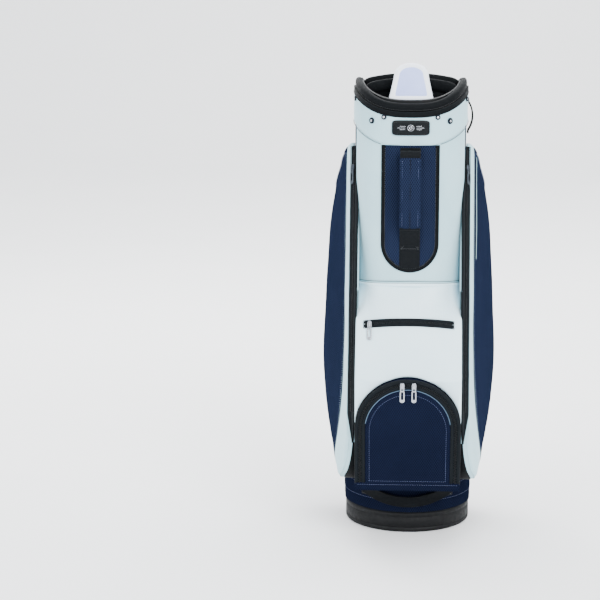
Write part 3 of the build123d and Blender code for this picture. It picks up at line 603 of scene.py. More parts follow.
THREAD_NAVY = thread_look("navy_thread", shade(48, 66, 108))
THREAD_BLACK = thread_look("black_thread", shade(26, 32, 39))


# --- more shapes --------------------------------------------------------------------------
def lathe(profile, count=144):
    """Turned form from a closed (radius, height) outline."""
    turn = (np.arange(count) * 2 * pi / count)[:, None]
    r, z = np.array(profile, float).T[:, None]
    verts = xyz(r * np.cos(turn), r * np.sin(turn), z)
    return verts.reshape(-1, 3), grid_faces(count, len(profile), wrap_rows=True, wrap_cols=True)


def ring_shell(outer, inner):
    """Closed wall between two grids whose columns run all the way round."""
    rows, cols = outer.shape[:2]
    size = rows * cols
    faces = both_faces(rows, cols, wrap_cols=True)
    for row in (0, rows - 1):
        for j in range(cols):
            a, b = row * cols + j, row * cols + (j + 1) % cols
            faces.append((a, b, b + size, a + size))
    return np.concatenate([outer.reshape(-1, 3), inner.reshape(-1, 3)]), faces


def line_distance(points, line):
    """Distance from each 2-D point to a line."""
    best = np.full(len(points), 1e9)
    for a, b in zip(line[:-1], line[1:]):
        run = b - a
        t = np.clip(((points - a) @ run) / max(run @ run, 1e-9), 0, 1)
        best = np.minimum(best, np.linalg.norm(points - a - t[:, None] * run, axis=1))
    return best


def dome(outline, top, bottom, place, rings=14, centre=None, power=1.6):
    """Closed pad on a flat outline. top and bottom give a height for a distance from the edge,
    and place turns (across, up, height) into points."""
    outline = np.asarray(outline, float)
    count = len(outline)
    middle = outline.mean(0) if centre is None else np.asarray(centre, float)
    levels = (np.linspace(0, 1, rings) ** power) * 0.97
    flat = np.concatenate([outline + (middle - outline) * t for t in levels])
    away = line_distance(flat, looped(outline))
    upper = place(flat[:, 0], flat[:, 1], top(away))
    lower = place(flat[:, 0], flat[:, 1], bottom(away))
    size = len(flat)
    faces = both_faces(rings, count, wrap_cols=True)
    faces += [tuple(range(size - count, size)), tuple(range(2 * size - 1, 2 * size - count - 1, -1))]
    faces += [(k, (k + 1) % count, size + (k + 1) % count, size + k) for k in range(count)]
    return np.concatenate([upper, lower]), faces


def flat_at(height):
    return lambda away: np.full(len(away), float(height))


def mirrored(verts):
    return np.asarray(verts) * np.array([-1.0, 1.0, 1.0])


def tube_along(path, radius, closed=False, count=10, up=(0, 0, 1)):
    return sweep(path, soft_section(radius, radius, 2.0, count), up, closed)


def two_sides(build):
    """Run build for the left side and its mirror image on the right."""
    for side, flip in (("left", lambda verts: verts), ("right", mirrored)):
        build(side, flip)


def settle(name, verts, faces, cap, voxel=4.5, pressure=4.0, held=None):
    """Swell a pad with a short cloth run and give how far a point near it moves, up to cap."""
    mesh = new_mesh(name, verts, faces)
    trial = new_object(name, mesh)
    remesh = trial.modifiers.new("remesh", "REMESH")
    remesh.mode = "VOXEL"
    remesh.voxel_size = voxel * MM
    now = bpy.context.evaluated_depsgraph_get
    coarse = bpy.data.meshes.new_from_object(trial.evaluated_get(now()))
    trial.modifiers.clear()
    trial.data = coarse
    start = mesh_points(coarse)
    cloth = trial.modifiers.new("cloth", "CLOTH")
    cloth.settings.quality = 4
    cloth.settings.use_pressure = True
    cloth.settings.uniform_pressure_force = pressure
    cloth.settings.effector_weights.gravity = 0.0
    cloth.point_cache.frame_start, cloth.point_cache.frame_end = 1, 20
    if held is not None:
        group = trial.vertex_groups.new(name="held")
        group.add([int(k) for k in np.nonzero(held(start))[0]], 1.0, "REPLACE")
        cloth.settings.vertex_group_mass = "held"
    for step in range(1, 21):
        bpy.context.scene.frame_set(step)
    moved = mesh_points(trial.evaluated_get(now()).to_mesh()) - start
    bpy.context.scene.frame_set(1)
    size = np.linalg.norm(moved, axis=1, keepdims=True)
    moved *= np.minimum(1.0, cap * np.tanh(size / cap) / np.maximum(size, 1e-9))
    bpy.data.objects.remove(trial)
    bpy.data.meshes.remove(mesh)
    bpy.data.meshes.remove(coarse)
    tree = KDTree(len(start))
    for k, spot in enumerate(start):
        tree.insert(spot, k)
    tree.balance()

    def shift(points):
        result = np.zeros((len(points), 3))
        for k, point in enumerate(np.asarray(points, float)):
            found = tree.find_n(point, 12)
            share = np.array([1 / (4.0 + away) ** 2 for _, _, away in found])
            result[k] = share @ moved[[index for _, index, _ in found]] / share.sum()
        return result

    return shift


def mesh_points(mesh):
    flat = np.empty(len(mesh.vertices) * 3)
    mesh.vertices.foreach_get("co", flat)
    return flat.reshape(-1, 3) / MM


def swelled(shift, mesh):
    """The (verts, faces) mesh moved by what a settle run gave."""
    verts = np.asarray(mesh[0], float)
    return verts + shift(verts), mesh[1]


# --- base, body and collar ----------------------------------------------------------------
def make_base():
    r, top = CUP_RADIUS, CUP_TOP
    cup = [(0, 1.6), (104, 1.6), (107, 0.2), (121, 0.2), (124.6, 0.9), (126.6, 2.8), (r, 5.0),
           (r, 8.5), (r - 1.1, 9.2), (r - 1.1, 10.8), (r, 11.5), (r, top - 11), (r - 0.9, top - 10.3),
           (r - 0.9, top - 8.7), (r, top - 8), (r, top - 1.5), (r - 1.2, top - 0.2), (r - 2.8, top - 0.2),
           (r - 4, top - 1.4), (r - 4, 6.5), (r - 8, 4.4), (0, 4.2)]
    add_mesh("base_cup_moulding", lathe(cup), PLASTIC, "base_cup")

    rows, cols = 40, 220
    z = np.linspace(CUP_TOP + 0.4, BAND_TOP - 0.6, rows)
    ring, out = oval_ring(cols, 0, (BAND_RADIUS, BAND_RADIUS, 0.0, 2.0))
    share = (z - z[0]) / (z[-1] - z[0])
    puff = -1.7 + 1.5 * np.sin(pi * share) ** 0.6
    seam = -1.3 * bell(z, 63.0, 1.3) - 0.9 * bell(z, 96.5, 1.1)
    outer = np.zeros((rows, cols, 3))
    outer[..., :2] = ring[None] + out[None] * (puff + seam)[:, None, None]
    outer[..., 2] = z[:, None]
    flat = outer.reshape(-1, 3)
    bumps = noise_waves(flat * np.array([1, 1, 2.2]), 11, 44, 0.45) * np.repeat(np.sin(pi * share), cols)
    directions = np.tile(outward(out), (rows, 1))
    outer = (flat + directions * np.minimum(bumps, 0.9)[:, None]).reshape(rows, cols, 3)
    inner = outer.copy()
    inner[..., :2] = ring[None] * ((BAND_RADIUS - 4.6) / BAND_RADIUS)
    band = add_mesh("base_band_cover", ring_shell(outer, inner), NAVY_DARK, "base_band")

    ring = ring * ((BAND_RADIUS - 2.3) / BAND_RADIUS)
    circle, low_edge = [xyz(ring[:, 0], ring[:, 1], edge_z) for edge_z in (BAND_TOP - 1.2, CUP_TOP + 1.6)]
    add_mesh("base_band_piping", tube_along(circle, 1.0, True), DIM_PIPING)
    add_mesh("base_band_hem", tube_along(low_edge, 1.3, True), BLACK_EDGE)
    seam_rows = [outer[np.argmin(np.abs(z - stitch_z))] for stitch_z in (66.2, 93.6)]
    stitches = [stitch_row(looped(line), looped(outward(out)), 4.6, 3.2, 0.7) for line in seam_rows]
    add_mesh("base_band_stitching", merge(stitches), THREAD_NAVY)


def outward(out):
    return np.concatenate([out, np.zeros((len(out), 1))], 1)


def body_grid(z_rows, cols, grow):
    grid = np.zeros((len(z_rows), cols, 3))
    for i, z in enumerate(z_rows):
        grid[i, :, :2], _ = oval_ring(cols, grow, tuple(body_row(z)))
    return grid


def make_body():
    rows, cols = 70, 180
    bottom = BODY_ROWS[0][0]
    share = np.linspace(0, 1, rows)
    z_rows = bottom + share * (880 - bottom)
    outer, inner = body_grid(z_rows, cols, 0.0), body_grid(z_rows, cols, -4.0)
    for grid in (outer, inner):
        top = saddle(grid[-1, :, 1]) - 0.6
        grid[..., 2] = bottom + share[:, None] * (top - bottom)
        half_x, half_y, mid, _ = body_row(grid[..., 2])
        row_x, row_y, row_mid, _ = body_row(z_rows[:, None])
        grid[..., 0] *= half_x / row_x
        grid[..., 1] = mid + (grid[..., 1] - row_mid) * half_y / row_y
    flat = outer.reshape(-1, 3)
    sag = np.clip(noise_waves(flat * np.array([1, 1, 0.6]), 21, 95, 0.5), -1.2, 0.25)
    direction = unit((flat - [0, -5.0, 0]) * [1, 1, 0])
    outer = (flat + direction * sag[:, None]).reshape(rows, cols, 3)
    shell = add_mesh("body_tube_cloth", ring_shell(outer, inner), NAVY, "body_shell")
    shell.data.materials.append(LINING)
    for face in shell.data.polygons[(rows - 1) * cols:]:
        face.material_index = 1


def collar_grid(cols, first, last, offsets, heights, closed=False):
    """Grid on the collar: rows are heights above the saddle arc, with a growth for each."""
    ring, out = oval_ring(cols, 0.0, None, first, last, closed)
    grid = np.zeros((len(heights), len(ring), 3))
    for i, (grow, height) in enumerate(zip(offsets, heights)):
        grid[i, :, :2] = ring + out * grow
        grid[i, :, 2] = saddle(ring[:, 1]) + height
    return grid, ring, out


def make_cuff():
    turn = degrees(np.arcsin(((CUFF_BACK_Y - COLLAR_MID_Y) / COLLAR_HALF_Y) ** (ROUNDNESS / 2)))
    rows = 22
    share = np.linspace(0, 1, rows)
    heights = -CUFF_HEIGHT + share * (CUFF_HEIGHT + 1.5)
    for name, node, first, last, look, slot_name, cols, seed in (
            ("cuff_leather", "cuff", 180 - turn, 360 + turn, WHITE, "white_leather", 230, 31),
            ("cuff_back_cloth", "cuff_back", turn, 180 - turn, NAVY, "navy_ripstop", 60, 32)):
        grid, ring, out = collar_grid(cols, first, last, np.full(rows, -0.3), heights)
        flat = grid.reshape(-1, 3)
        creases = np.clip(noise_waves(flat * np.array([1, 1, 1.5]), seed, 60, 0.5), -0.9, 0.35)
        creases *= np.repeat(np.sin(pi * np.clip(share * 1.02, 0, 1)) ** 0.5, cols)
        roll = edge_roll(rows, cols, 1.6, 1.1, "uvV").reshape(-1)
        direction = np.tile(outward(out), (rows, 1))
        outer = flat + direction * (creases - roll)[:, None]
        inner = flat - direction * 2.3
        skin = closed_shell(outer.reshape(rows, cols, 3), inner.reshape(rows, cols, 3))
        add_mesh(name, skin, look, node)
    grid, ring, out = collar_grid(230, 181 - turn, 359 + turn, [-0.15, -0.15], [-53.2, -8.0])
    rows_of = [stitch_row(line, outward(out), 4.2, 2.8, 0.8) for line in grid]
    # Painted shadow: a thin dark tube in the seam-shadow colour runs along the cuff's foot and stands in for
    # the shade under the cuff's lower edge. It is left out where the cuff meets the navy inset.
    foot = xyz(ring[:, 0], ring[:, 1], cuff_foot(ring[:, 1]) - 0.5) + outward(out) * 0.25
    on_inset = np.flatnonzero((np.abs(foot[:, 0]) < INSET_HALF + 1) & (foot[:, 1] < 0))
    crease = [tube_along(line, 0.7, False, 8) for line in (foot[:on_inset[0]], foot[on_inset[-1] + 1:])]
    add_mesh("cuff_foot_shadow_line", merge(crease), SEAM_SHADE)
    add_mesh("cuff_stitching", merge(rows_of), THREAD_WHITE)


def collar_path(cols, inset, height):
    ring, out = oval_ring(cols)
    x, y = (ring - out * inset).T
    return xyz(x, y, saddle(ring[:, 1]) + height)


def make_rim():
    def band(height, inset, half_w, half_h, power, count, scale=1.0):
        return sweep(collar_path(240, inset, height), soft_section(half_w, half_h, power, count), (0, 0, 1),
                     True, scale)

    binding = band(RIM_BAND / 2, 3.0, 3.3, RIM_BAND / 2 + 0.4, 3.2, 20)
    add_mesh("rim_binding_band", binding, BLACK_EDGE, "rim_binding")
    for name, inset, height, radius in (("rim_binding_edge_low", -0.2, 1.0, 0.8),
                                        ("rim_binding_edge_high", 0.4, RIM_BAND - 0.4, 0.8)):
        edge = tube_along(collar_path(240, inset, height), radius, True, 8)
        add_mesh(name, edge, TAPE)
    height, inset = RIM_BAND + 8.2, 9.6
    wobble = 1 + noise_waves(collar_path(240, inset, height), 41, 70, 0.03)
    roll = band(height, inset, 6.8, 8.2, 2.4, 28, wobble[:, None])
    pad = add_mesh("rim_pad_roll", roll, BLACK_PAD, "rim_pad")
    piping = tube_along(collar_path(240, 14.6, RIM_PAD - 1.6), 1.3, True, 8)
    add_mesh("rim_pad_piping", piping, TAPE)
    line = looped(collar_path(240, 2.7, RIM_BAND + 3.4))
    stitches = stitch_row(line, looped(outward(oval_ring(240)[1])), 4.4, 3.0, 0.8, 0.1)
    add_mesh("rim_stitching", stitches, THREAD_BLACK)


DIVIDER_BARS = ("divider_bar_front", "divider_bar_middle", "divider_bar_rear")
MOUTH_INSET = 20.4
MOUTH_HALF_X = COLLAR_HALF_X - MOUTH_INSET
MOUTH_HALF_Y = COLLAR_HALF_Y - MOUTH_INSET


def make_dividers():
    bars_y = [(low(node)[1] + high(node)[1]) / 2 for node in DIVIDER_BARS]
    for node, y in zip(DIVIDER_BARS, bars_y):
        half = chord(y - COLLAR_MID_Y, MOUTH_HALF_Y, MOUTH_HALF_X)
        x = np.linspace(-half, half, 41)
        crest = 5.5 * np.exp(-(x / 62) ** 4) - 3.0 * (np.abs(x) / half) ** 5
        path = xyz(x, y, float(saddle(y)) + 18.6 + crest)
        flare = 1 + noise_waves(path, 51, 60, 0.02)
        pinch = 1 - 0.06 * bell(np.abs(x) % 54, 27, 40)
        verts, faces = sweep(path, soft_section(6.1, 12.2, 2.6, 28), (0, 0, 1), False,
                             np.stack([flare * pinch, 1 - 0.5 * (np.abs(x) / half) ** 12], 1))
        shift = settle(node + "_trial", verts, faces, 1.2, 3.5)
        bar = add_mesh(node + "_pad", (verts + shift(verts), faces), BLACK_PAD, node)
    edges = [-200.0] + bars_y + [200.0]
    columns = ((-36, 36), (-54, 0, 54), (-54, 0, 54), (-36, 36))
    parts = []
    for row, places in enumerate(columns):
        for x in places:
            wall = chord(x, MOUTH_HALF_X, MOUTH_HALF_Y)
            start = max(edges[row] + 7.2, COLLAR_MID_Y - wall)
            end = min(edges[row + 1] - 7.2, COLLAR_MID_Y + wall)
            y = np.linspace(start, end, 15)
            parts.append(sweep(xyz(x, y, saddle(y) + 9.0), soft_section(4.2, 5.7, 2.6, 20), (0, 0, 1)))
    ribs = add_mesh("divider_rib_pads", merge(parts), BLACK_PAD, "divider_ribs")
    sheets = []
    rows, cols = 40, 24
    for y in bars_y:
        z = np.linspace(CUP_TOP + 7, float(saddle(y)) + 15.0, rows)
        half = body_half_x(y, z, -9.5)
        flat = xyz(np.linspace(-half, half, cols, axis=1), 0.0, z[:, None]).reshape(-1, 3)
        wave = noise_waves(flat, 500 + int(y), 120, 1.6)
        flat[:, 1] = y + wave * np.sin(pi * np.repeat(np.linspace(0, 1, rows), cols))
        grid = flat.reshape(rows, cols, 3)
        sheets.append(closed_shell(grid + [0, 0.6, 0], grid - [0, 0.6, 0]))
    add_mesh("divider_panel_cloth", merge(sheets), LINING, "divider_panels")


def guard_outline(foot_width, head_width, rise, count=96):
    half_foot, half_head = foot_width / 2, head_width / 2
    shoulder = rise - half_head * 0.86
    turn = np.radians(np.linspace(0, 180, 25))
    head = np.stack([half_head * bulge(np.cos(turn), 0.92),
                     shoulder + (rise - shoulder) * np.sin(turn) ** 0.92], 1)
    corner = [(-half_foot, 6), (-half_foot + 2, 1.5), (-half_foot + 7, 0), (half_foot - 7, 0),
              (half_foot - 2, 1.5), (half_foot, 6)]
    return resample(np.vstack([head, corner]), count, True)


def make_guards():
    for node, foot, head, (foot_width, head_width) in (
            ("front_guard", (-119.5, 870.5), (-78.0, 945.0), (89.0, 71.0)),
            ("rear_guard", (110.0, 866.3), (56.0, 918.0), (82.0, 66.0))):
        dy, dz = head[0] - foot[0], head[1] - foot[1]
        rise = hypot(dy, dz)
        dy, dz = dy / rise, dz / rise
        outline = guard_outline(foot_width - 1.0, head_width - 1.0, rise - 0.5)

        def place(across, up, height, foot=foot, dy=dy, dz=dz, rise=rise):
            bow = 2.0 * np.sin(np.clip(up / rise, 0, 1) * pi)
            out = height + bow
            return xyz(across, foot[0] + dy * up - dz * out, foot[1] + dz * up + dy * out)

        def border(away):
            return 4.3 * arc_rise(away, 4.6) - 1.9 / (1 + np.exp(-(away - 10.5) * 1.1))

        def underside(away):
            return -4.2 * arc_rise(away, 4.6)

        pad_mesh = dome(outline, border, underside, place, 26, (0, rise * 0.48), 1.25)
        shift = settle(node + "_trial", *pad_mesh, 1.8, 3.0)
        pad = add_mesh(node + "_pad", swelled(shift, pad_mesh), GUARD_WHITE, node)
        inner = guard_outline(foot_width - 22.0, head_width - 21.0, rise - 20.0)
        inner[:, 1] += 10.0
        # The recessed front and back faces get the lavender painted-shade colour.
        for face_name, base, sign in (("_face", 1.6, 1), ("_back_face", -3.9, -1)):
            face = dome(inner, lambda away, b=base, s=sign: b + s * (1.4 * arc_rise(away, 5.0) + 0.3),
                        flat_at(base), place, 12, (0, rise * 0.48))
            add_mesh(node + face_name, swelled(shift, face), GUARD_PAINTED_SHADE)
        across, up = looped(resample(inner, 90, True)).T
        line = place(across * 1.05, (up - rise * 0.48) * 1.03 + rise * 0.48, 2.6)
        stitches = stitch_row(line + shift(line), (0, -dz, dy), 3.6, 2.5, 0.7, 0.0)
        add_mesh(node + "_stitching", stitches, THREAD_WHITE)


# --- front face ---------------------------------------------------------------------------
def front_skin(x, z, grow):
    """Points on the front of the body tube, pushed out by grow."""
    return xyz(x, body_front_y(x, z, grow), z)


def bow(x, half, rise):
    return rise * (1 - (x / half) ** 2)


def cuff_foot(y):
    return saddle(y) - CUFF_HEIGHT


FRONT_SEAM = high("mid_pocket")[2]
PANEL_HALF = high("front_panel")[0]
INSET_HALF = high("inset_binding")[0]
INSET_BOTTOM = low("inset_binding")[2]


def make_front_panel():
    rows, cols = 70, 110
    turn = np.linspace(-1, 1, cols)
    x = PANEL_HALF * np.sin(turn * pi / 2 * 0.93) / sin(pi / 2 * 0.93)
    top = cuff_foot(body_front_y(x, 780.0)) + 3.0
    share = np.linspace(0, 1, rows)[:, None]
    bottom = FRONT_SEAM - 4.0 + bow(x, PANEL_HALF, 6.5)
    z = bottom + share * (top - bottom)
    flat = front_skin(x, z, 2.1).reshape(-1, 3)
    wave = np.clip(noise_waves(flat * np.array([1, 1, 0.8]), 61, 85, 0.55), -0.9, 0.9)
    roll = edge_roll(rows, cols, 1.6, 1.1, "vV").reshape(-1)
    flat[:, 1] -= wave - roll
    skin = closed_shell(flat.reshape(rows, cols, 3), front_skin(x, z, 0.35))
    add_mesh("front_panel_leather", skin, WHITE, "front_panel")


def u_shape(half, bottom, top, count=48):
    """Open outline of a round-ended strip, down one side and up the other."""
    turn = np.radians(np.linspace(180, 360, count))
    arc = np.stack([half * np.cos(turn), bottom + half + half * np.sin(turn)], 1)
    return np.vstack([[(-half, top)], arc, [(half, top)]])


def make_inset():
    top_z = 790.0
    half = INSET_HALF - 6.0
    rows, cols = 110, 44
    z = np.linspace(INSET_BOTTOM + 7.0, top_z, rows)
    drop = np.clip(INSET_BOTTOM + INSET_HALF - z, 0, half)
    width = np.sqrt(np.maximum(half ** 2 - drop ** 2, 1.0))
    flat = front_skin(np.linspace(-width, width, cols, axis=1), z[:, None], 3.0).reshape(-1, 3)
    folds = 0.9 * bell(np.abs(flat[:, 0]), 27, 3.0) + noise_waves(flat, 71, 46, 0.35)
    outer, inner = flat - xyz(0, folds + 0.4, 0), flat + [0, 0.9, 0]
    add_mesh("inset_cloth", closed_shell(outer.reshape(rows, cols, 3), inner.reshape(rows, cols, 3)),
             NAVY, "inset_panel")
    outline = resample(u_shape(INSET_HALF - 4.5, INSET_BOTTOM + 4.5, top_z), 180)
    binding = sweep(front_skin(*outline.T, 3.1), soft_section(4.6, 1.7, 2.8, 18), (0, -1, 0))
    add_mesh("inset_binding_tape", binding, BLACK_EDGE, "inset_binding")
    rows_of = []
    for inset in (1.6, 7.4):
        line = resample(u_shape(INSET_HALF - inset, INSET_BOTTOM + inset, 783.0), 170)
        rows_of.append(stitch_row(front_skin(*line.T, 4.4), (0, -1, 0), 4.0, 2.8, 0.7, 0.0))
    add_mesh("inset_stitching", merge(rows_of), THREAD_BLACK)


def make_plate():
    corner_low, corner_high = low("name_plate"), high("name_plate")
    width, height = corner_high[0] - corner_low[0], corner_high[2] - corner_low[2]
    middle = (corner_high[2] + corner_low[2]) / 2
    box = soft_section(width / 2, height / 2, 7.0, 120)

    def place(across, up, lift):
        front = COLLAR_MID_Y - chord(across, COLLAR_HALF_X + lift, COLLAR_HALF_Y + lift)
        return xyz(across, front, middle + up)

    def face(away):
        return 0.5 + 2.6 * arc_rise(away, 1.2) - 0.55 * (1 / (1 + np.exp(-(away - 2.6) * 5)))

    add_mesh("name_plate_moulding", dome(box, face, flat_at(0.35), place, 22, None, 1.5), PLATE,
             "name_plate")
    turn = np.arange(64) * 2 * pi / 64
    rings = []
    for radius, wire in ((6.2, 0.55), (2.6, 0.9)):
        loop = place(radius * np.cos(turn), radius * np.sin(turn) * 0.92, 2.65)
        rings.append(tube_along(loop, wire, True, 8, (0, -1, 0)))
    for sign in (-1, 1):
        bar = np.linspace(11, 26, 24)
        for rise, count in ((-3.2, 17), (0.0, 24), (3.2, 17)):
            rings.append(tube_along(place(sign * bar[:count], rise, 2.6), 0.55, False, 8, (0, -1, 0)))
    add_mesh("name_plate_emblem", merge(rings), SILVER)


def snap_spots(places):
    """Point and outward direction for each snap, from its X or its Y on the collar."""
    spots = []
    for x, y, height in places:
        if y is None:
            y = COLLAR_MID_Y - chord(x, COLLAR_HALF_X, COLLAR_HALF_Y)
        else:
            x = np.sign(x) * chord(y - COLLAR_MID_Y, COLLAR_HALF_Y, COLLAR_HALF_X)
        slope = np.array([bulge(x / COLLAR_HALF_X, ROUNDNESS - 1) / COLLAR_HALF_X,
                          bulge((y - COLLAR_MID_Y) / COLLAR_HALF_Y, ROUNDNESS - 1) / COLLAR_HALF_Y, 0.0])
        spots.append((np.array([x, y, float(saddle(y)) + height]), unit(slope)))
    return spots


def turned_on(spot, out, profile, count=40):
    """Lathe form standing on a surface: profile is (radius, height above it)."""
    verts, faces = lathe(profile, count)
    side = unit(np.cross([0, 0, 1.0], out))
    up = np.cross(out, side)
    return spot + verts[:, :1] * side + verts[:, 1:2] * up + verts[:, 2:] * out, faces


def make_snaps():
    small = snap_spots([(-52, None, -3), (52, None, -3), (-1, 59, -3), (1, 59, -3),
                        (-1, -70, -3), (1, -70, -3)])
    large = snap_spots([(-76, None, -19), (76, None, -19), (-1, 70, -19), (1, 70, -19)])
    ring = [(2.6, 0.2), (4.9, 0.2), (5.1, 1.4), (4.8, 2.6), (4.0, 3.1), (3.1, 2.8), (2.6, 1.8)]
    stud = [(0, 0.3), (2.7, 0.3), (2.7, 1.9), (2.3, 2.7), (1.4, 3.0), (0, 3.0)]
    cap = [(0, 0.2), (6.1, 0.2), (6.2, 0.9), (5.6, 1.9), (4.4, 2.5), (3.0, 2.1), (2.6, 1.9), (0, 1.9)]
    boss = [(0, 1.5), (2.3, 1.5), (2.3, 2.8), (1.8, 3.3), (0.9, 3.4), (0, 3.4)]
    for name, spots, profile, node, look in (
            ("hood_snap_rings", small, ring, "hood_snaps_small", DARK_METAL),
            ("hood_snap_centres", small, stud, None, SILVER),
            ("hood_snap_caps", large, cap, "hood_snaps_large", DARK_METAL),
            ("hood_snap_bosses", large, boss, None, SILVER)):
        parts = [turned_on(spot, out, profile) for spot, out in spots]
        add_mesh(name, merge(parts), look, node)


# --- grab handle --------------------------------------------------------------------------
def arc_through(points, count):
    """Evenly spaced points on the circle through three (y, z) points, in their order."""
    cy, cz, radius = circle_through(points)
    start, middle, end = [atan2(z - cz, y - cy) for y, z in points]
    turn = (middle - start + pi) % (2 * pi) - pi + (end - middle + pi) % (2 * pi) - pi
    turn = np.linspace(start, start + turn, count)
    return np.stack([cy + radius * np.cos(turn), cz + radius * np.sin(turn)], 1)


SLEEVE_ARC = ((-181.0, 768.0), (-190.0, 708.0), (-168.0, 632.0))
SLEEVE_HALF = high("grab_sleeve")[0]
SLEEVE_THICK = 11.0
GRAB_HALF = high("grab_webbing")[0]
GRAB_TOP = (-166.0, 780.6)
GRAB_FOOT = (-158.4, 625.0)


def yz_path(line):
    y, z = np.asarray(line, float).T
    return xyz(0.0, y, z)


def flat_strap(path, half_width, half_thick, up):
    """Woven strap with slightly thicker edges."""
    edge = np.array([(-1, -0.5), (-0.97, -1), (-0.86, -1.05), (-0.8, -0.8), (0, -0.82), (0.8, -0.8),
                     (0.86, -1.05), (0.97, -1), (1, -0.5), (1, 0.5), (0.97, 1), (0.86, 1.05),
                     (0.8, 0.8), (0, 0.82), (-0.8, 0.8), (-0.86, 1.05), (-0.97, 1), (-1, 0.5)])
    return sweep(path, edge * np.array([half_width, half_thick]), up)


def sewn_webbing(z_from, z_to, rows, drop, over, under):
    """Flat run of the grab webbing on the front panel."""
    cols = 22
    x, z = np.linspace(-GRAB_HALF, GRAB_HALF, cols), np.linspace(z_from, z_to, rows)[:, None]
    outer = front_skin(x, z, over)
    outer[..., 1] += edge_roll(rows, cols, 1.5, drop)
    return closed_shell(outer, front_skin(x, z, under))


def make_grab_handle():
    centre = arc_through([(y + SLEEVE_THICK / 2, z) for y, z in SLEEVE_ARC], 61)
    t = np.linspace(-1, 1, len(centre))
    swell = 1 - 0.16 * np.abs(t) ** 7
    path = yz_path(centre)
    section = oval_section(SLEEVE_HALF - 0.8, SLEEVE_THICK / 2 + 0.6, 0.72, 0.85, 56)
    across = np.abs(section[:, 0])
    section[:, 1] *= 1 - 0.42 * bell(across, 0, 2.4) - 0.14 * bell(across, 15.5, 2.0)
    scale = np.stack([1 - 0.05 * np.abs(t) ** 9, swell], 1)
    verts, faces = sweep(path, section, (0, -1, 0), False, scale)
    verts[:, 1] -= noise_waves(verts, 81, 26, 0.28)
    shift = settle("grab_sleeve_trial", verts, faces, 1.6, 3.0)
    sleeve = add_mesh("grab_sleeve_pad", (verts + shift(verts), faces), NAVY,
                      "grab_sleeve", body="grab_handle")
    rows_of = []
    out = unit(np.cross(unit(np.gradient(path, axis=0)), [1.0, 0, 0]))
    out = out * np.where(out[:, 1:2] > 0, -1.0, 1.0)
    for x, lift in ((-3.4, 4.2), (3.4, 4.2), (-15.5, 4.1), (15.5, 4.1)):
        for side in (1, -1):
            line = path[3:-3] + [x, 0, 0] + out[3:-3] * lift * side
            rows_of.append(stitch_row(line, out[3:-3] * side, 3.8, 2.6, 0.7, 0.0))
    add_mesh("grab_sleeve_stitching", swelled(shift, merge(rows_of)), THREAD_NAVY,
             body="grab_handle")
    seams = [tube_along(path[1:-1] + out[1:-1] * 3.2 * side, 0.75, False, 8) for side in (1, -1)]
    add_mesh("grab_sleeve_seam", swelled(shift, merge(seams)), BLACK_EDGE,
             body="grab_handle")

    upper = smooth_line([GRAB_TOP, (-172.4, 776.8), tuple(centre[0]), tuple(centre[3])])
    lower = smooth_line([tuple(centre[-4]), tuple(centre[-1]), GRAB_FOOT])
    line = resample(np.vstack([upper, centre[4:-4], lower]), 90)
    add_mesh("grab_handle_web", flat_strap(yz_path(line), GRAB_HALF - 0.5, 1.45, (0, -1, 0)), BLACK_WEB,
             "grab_webbing", body="grab_handle")

    for side, spots, node in (
            ("upper", [(0.2, 750.0), (-0.9, 760.0), (-5.4, 771.5), (-10.5, 778.4)], "grab_anchor_upper"),
            ("lower", [(0.2, 592.0), (-0.9, 601.0), (-4.4, 610.5), (-8.4, 617.6)], "grab_anchor_lower")):
        face = float(body_front_y(0.0, (low(node)[2] + high(node)[2]) / 2, 4.6))
        spots = [(face + off, z) for off, z in spots] + [GRAB_TOP if side == "upper" else GRAB_FOOT]
        path = yz_path(resample(smooth_line(spots), 26))
        root = add_mesh("grab_root_" + side, flat_strap(path, GRAB_HALF - 0.8, 1.4, (0, -1, 0.05)),
                        BLACK_WEB, body=None)
        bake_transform(root)
        z_low, z_high = low(node)[2], high(node)[2]
        far_low, far_high = (z_high - 1.0, 785.0) if side == "upper" else (INSET_BOTTOM + 8.0, z_low + 1.0)
        run = sewn_webbing(far_low, far_high, 16, 0.8, 4.8, 3.6)
        add_mesh("grab_run_" + side, run, BLACK_WEB)
        tab = sewn_webbing(z_low - 1.0, z_high + 1.0, 24, 1.0, 5.6, 3.8)
        add_mesh("grab_tab_" + side, tab, BLACK_WEB, node)
        half = GRAB_HALF - 3.5
        a, b = (-half, z_low + 3), (half, z_low + 3)
        c, d = (half, z_high - 3), (-half, z_high - 3)
        rows_of = []
        for corners in ([a, b, c, d, a], [a, c], [d, b]):
            dense = resample(corners, max(12, int(length_of(corners) / 4)))
            rows_of.append(stitch_row(front_skin(*dense.T, 5.75), (0, -1, 0), 3.4, 2.4, 0.8, 0.0))
        add_mesh("grab_tab_stitching_" + side, merge(rows_of), THREAD_BLACK)


# --- zips ---------------------------------------------------------------------------------
def coil(path, normals, half_width=2.3, pitch=1.9):
    """Two interlocked rows of nylon teeth along a line."""
    count = int(length_of(path) / pitch)
    place, ahead, side, normal = places_along(path, normals, count)
    shift = np.where(np.arange(count) % 2, 0.55, -0.55)[:, None] * half_width
    corners = [(-0.42, -1, 0), (0.42, -1, 0), (0.42, 1, 0), (-0.42, 1, 0),
               (-0.3, -0.8, 1), (0.3, -0.8, 1), (0.3, 0.8, 1), (-0.3, 0.8, 1)]
    quads = [(0, 1, 5, 4), (1, 2, 6, 5), (2, 3, 7, 6), (3, 0, 4, 7), (4, 5, 6, 7), (3, 2, 1, 0)]
    verts = [place + ahead * a * pitch + side * (b * half_width * 0.62 + shift) + normal * (c * 1.25)
             for a, b, c in corners]
    faces = [tuple(8 * k + q for q in quad) for k in range(count) for quad in quads]
    return np.stack(verts, 1).reshape(-1, 3), faces


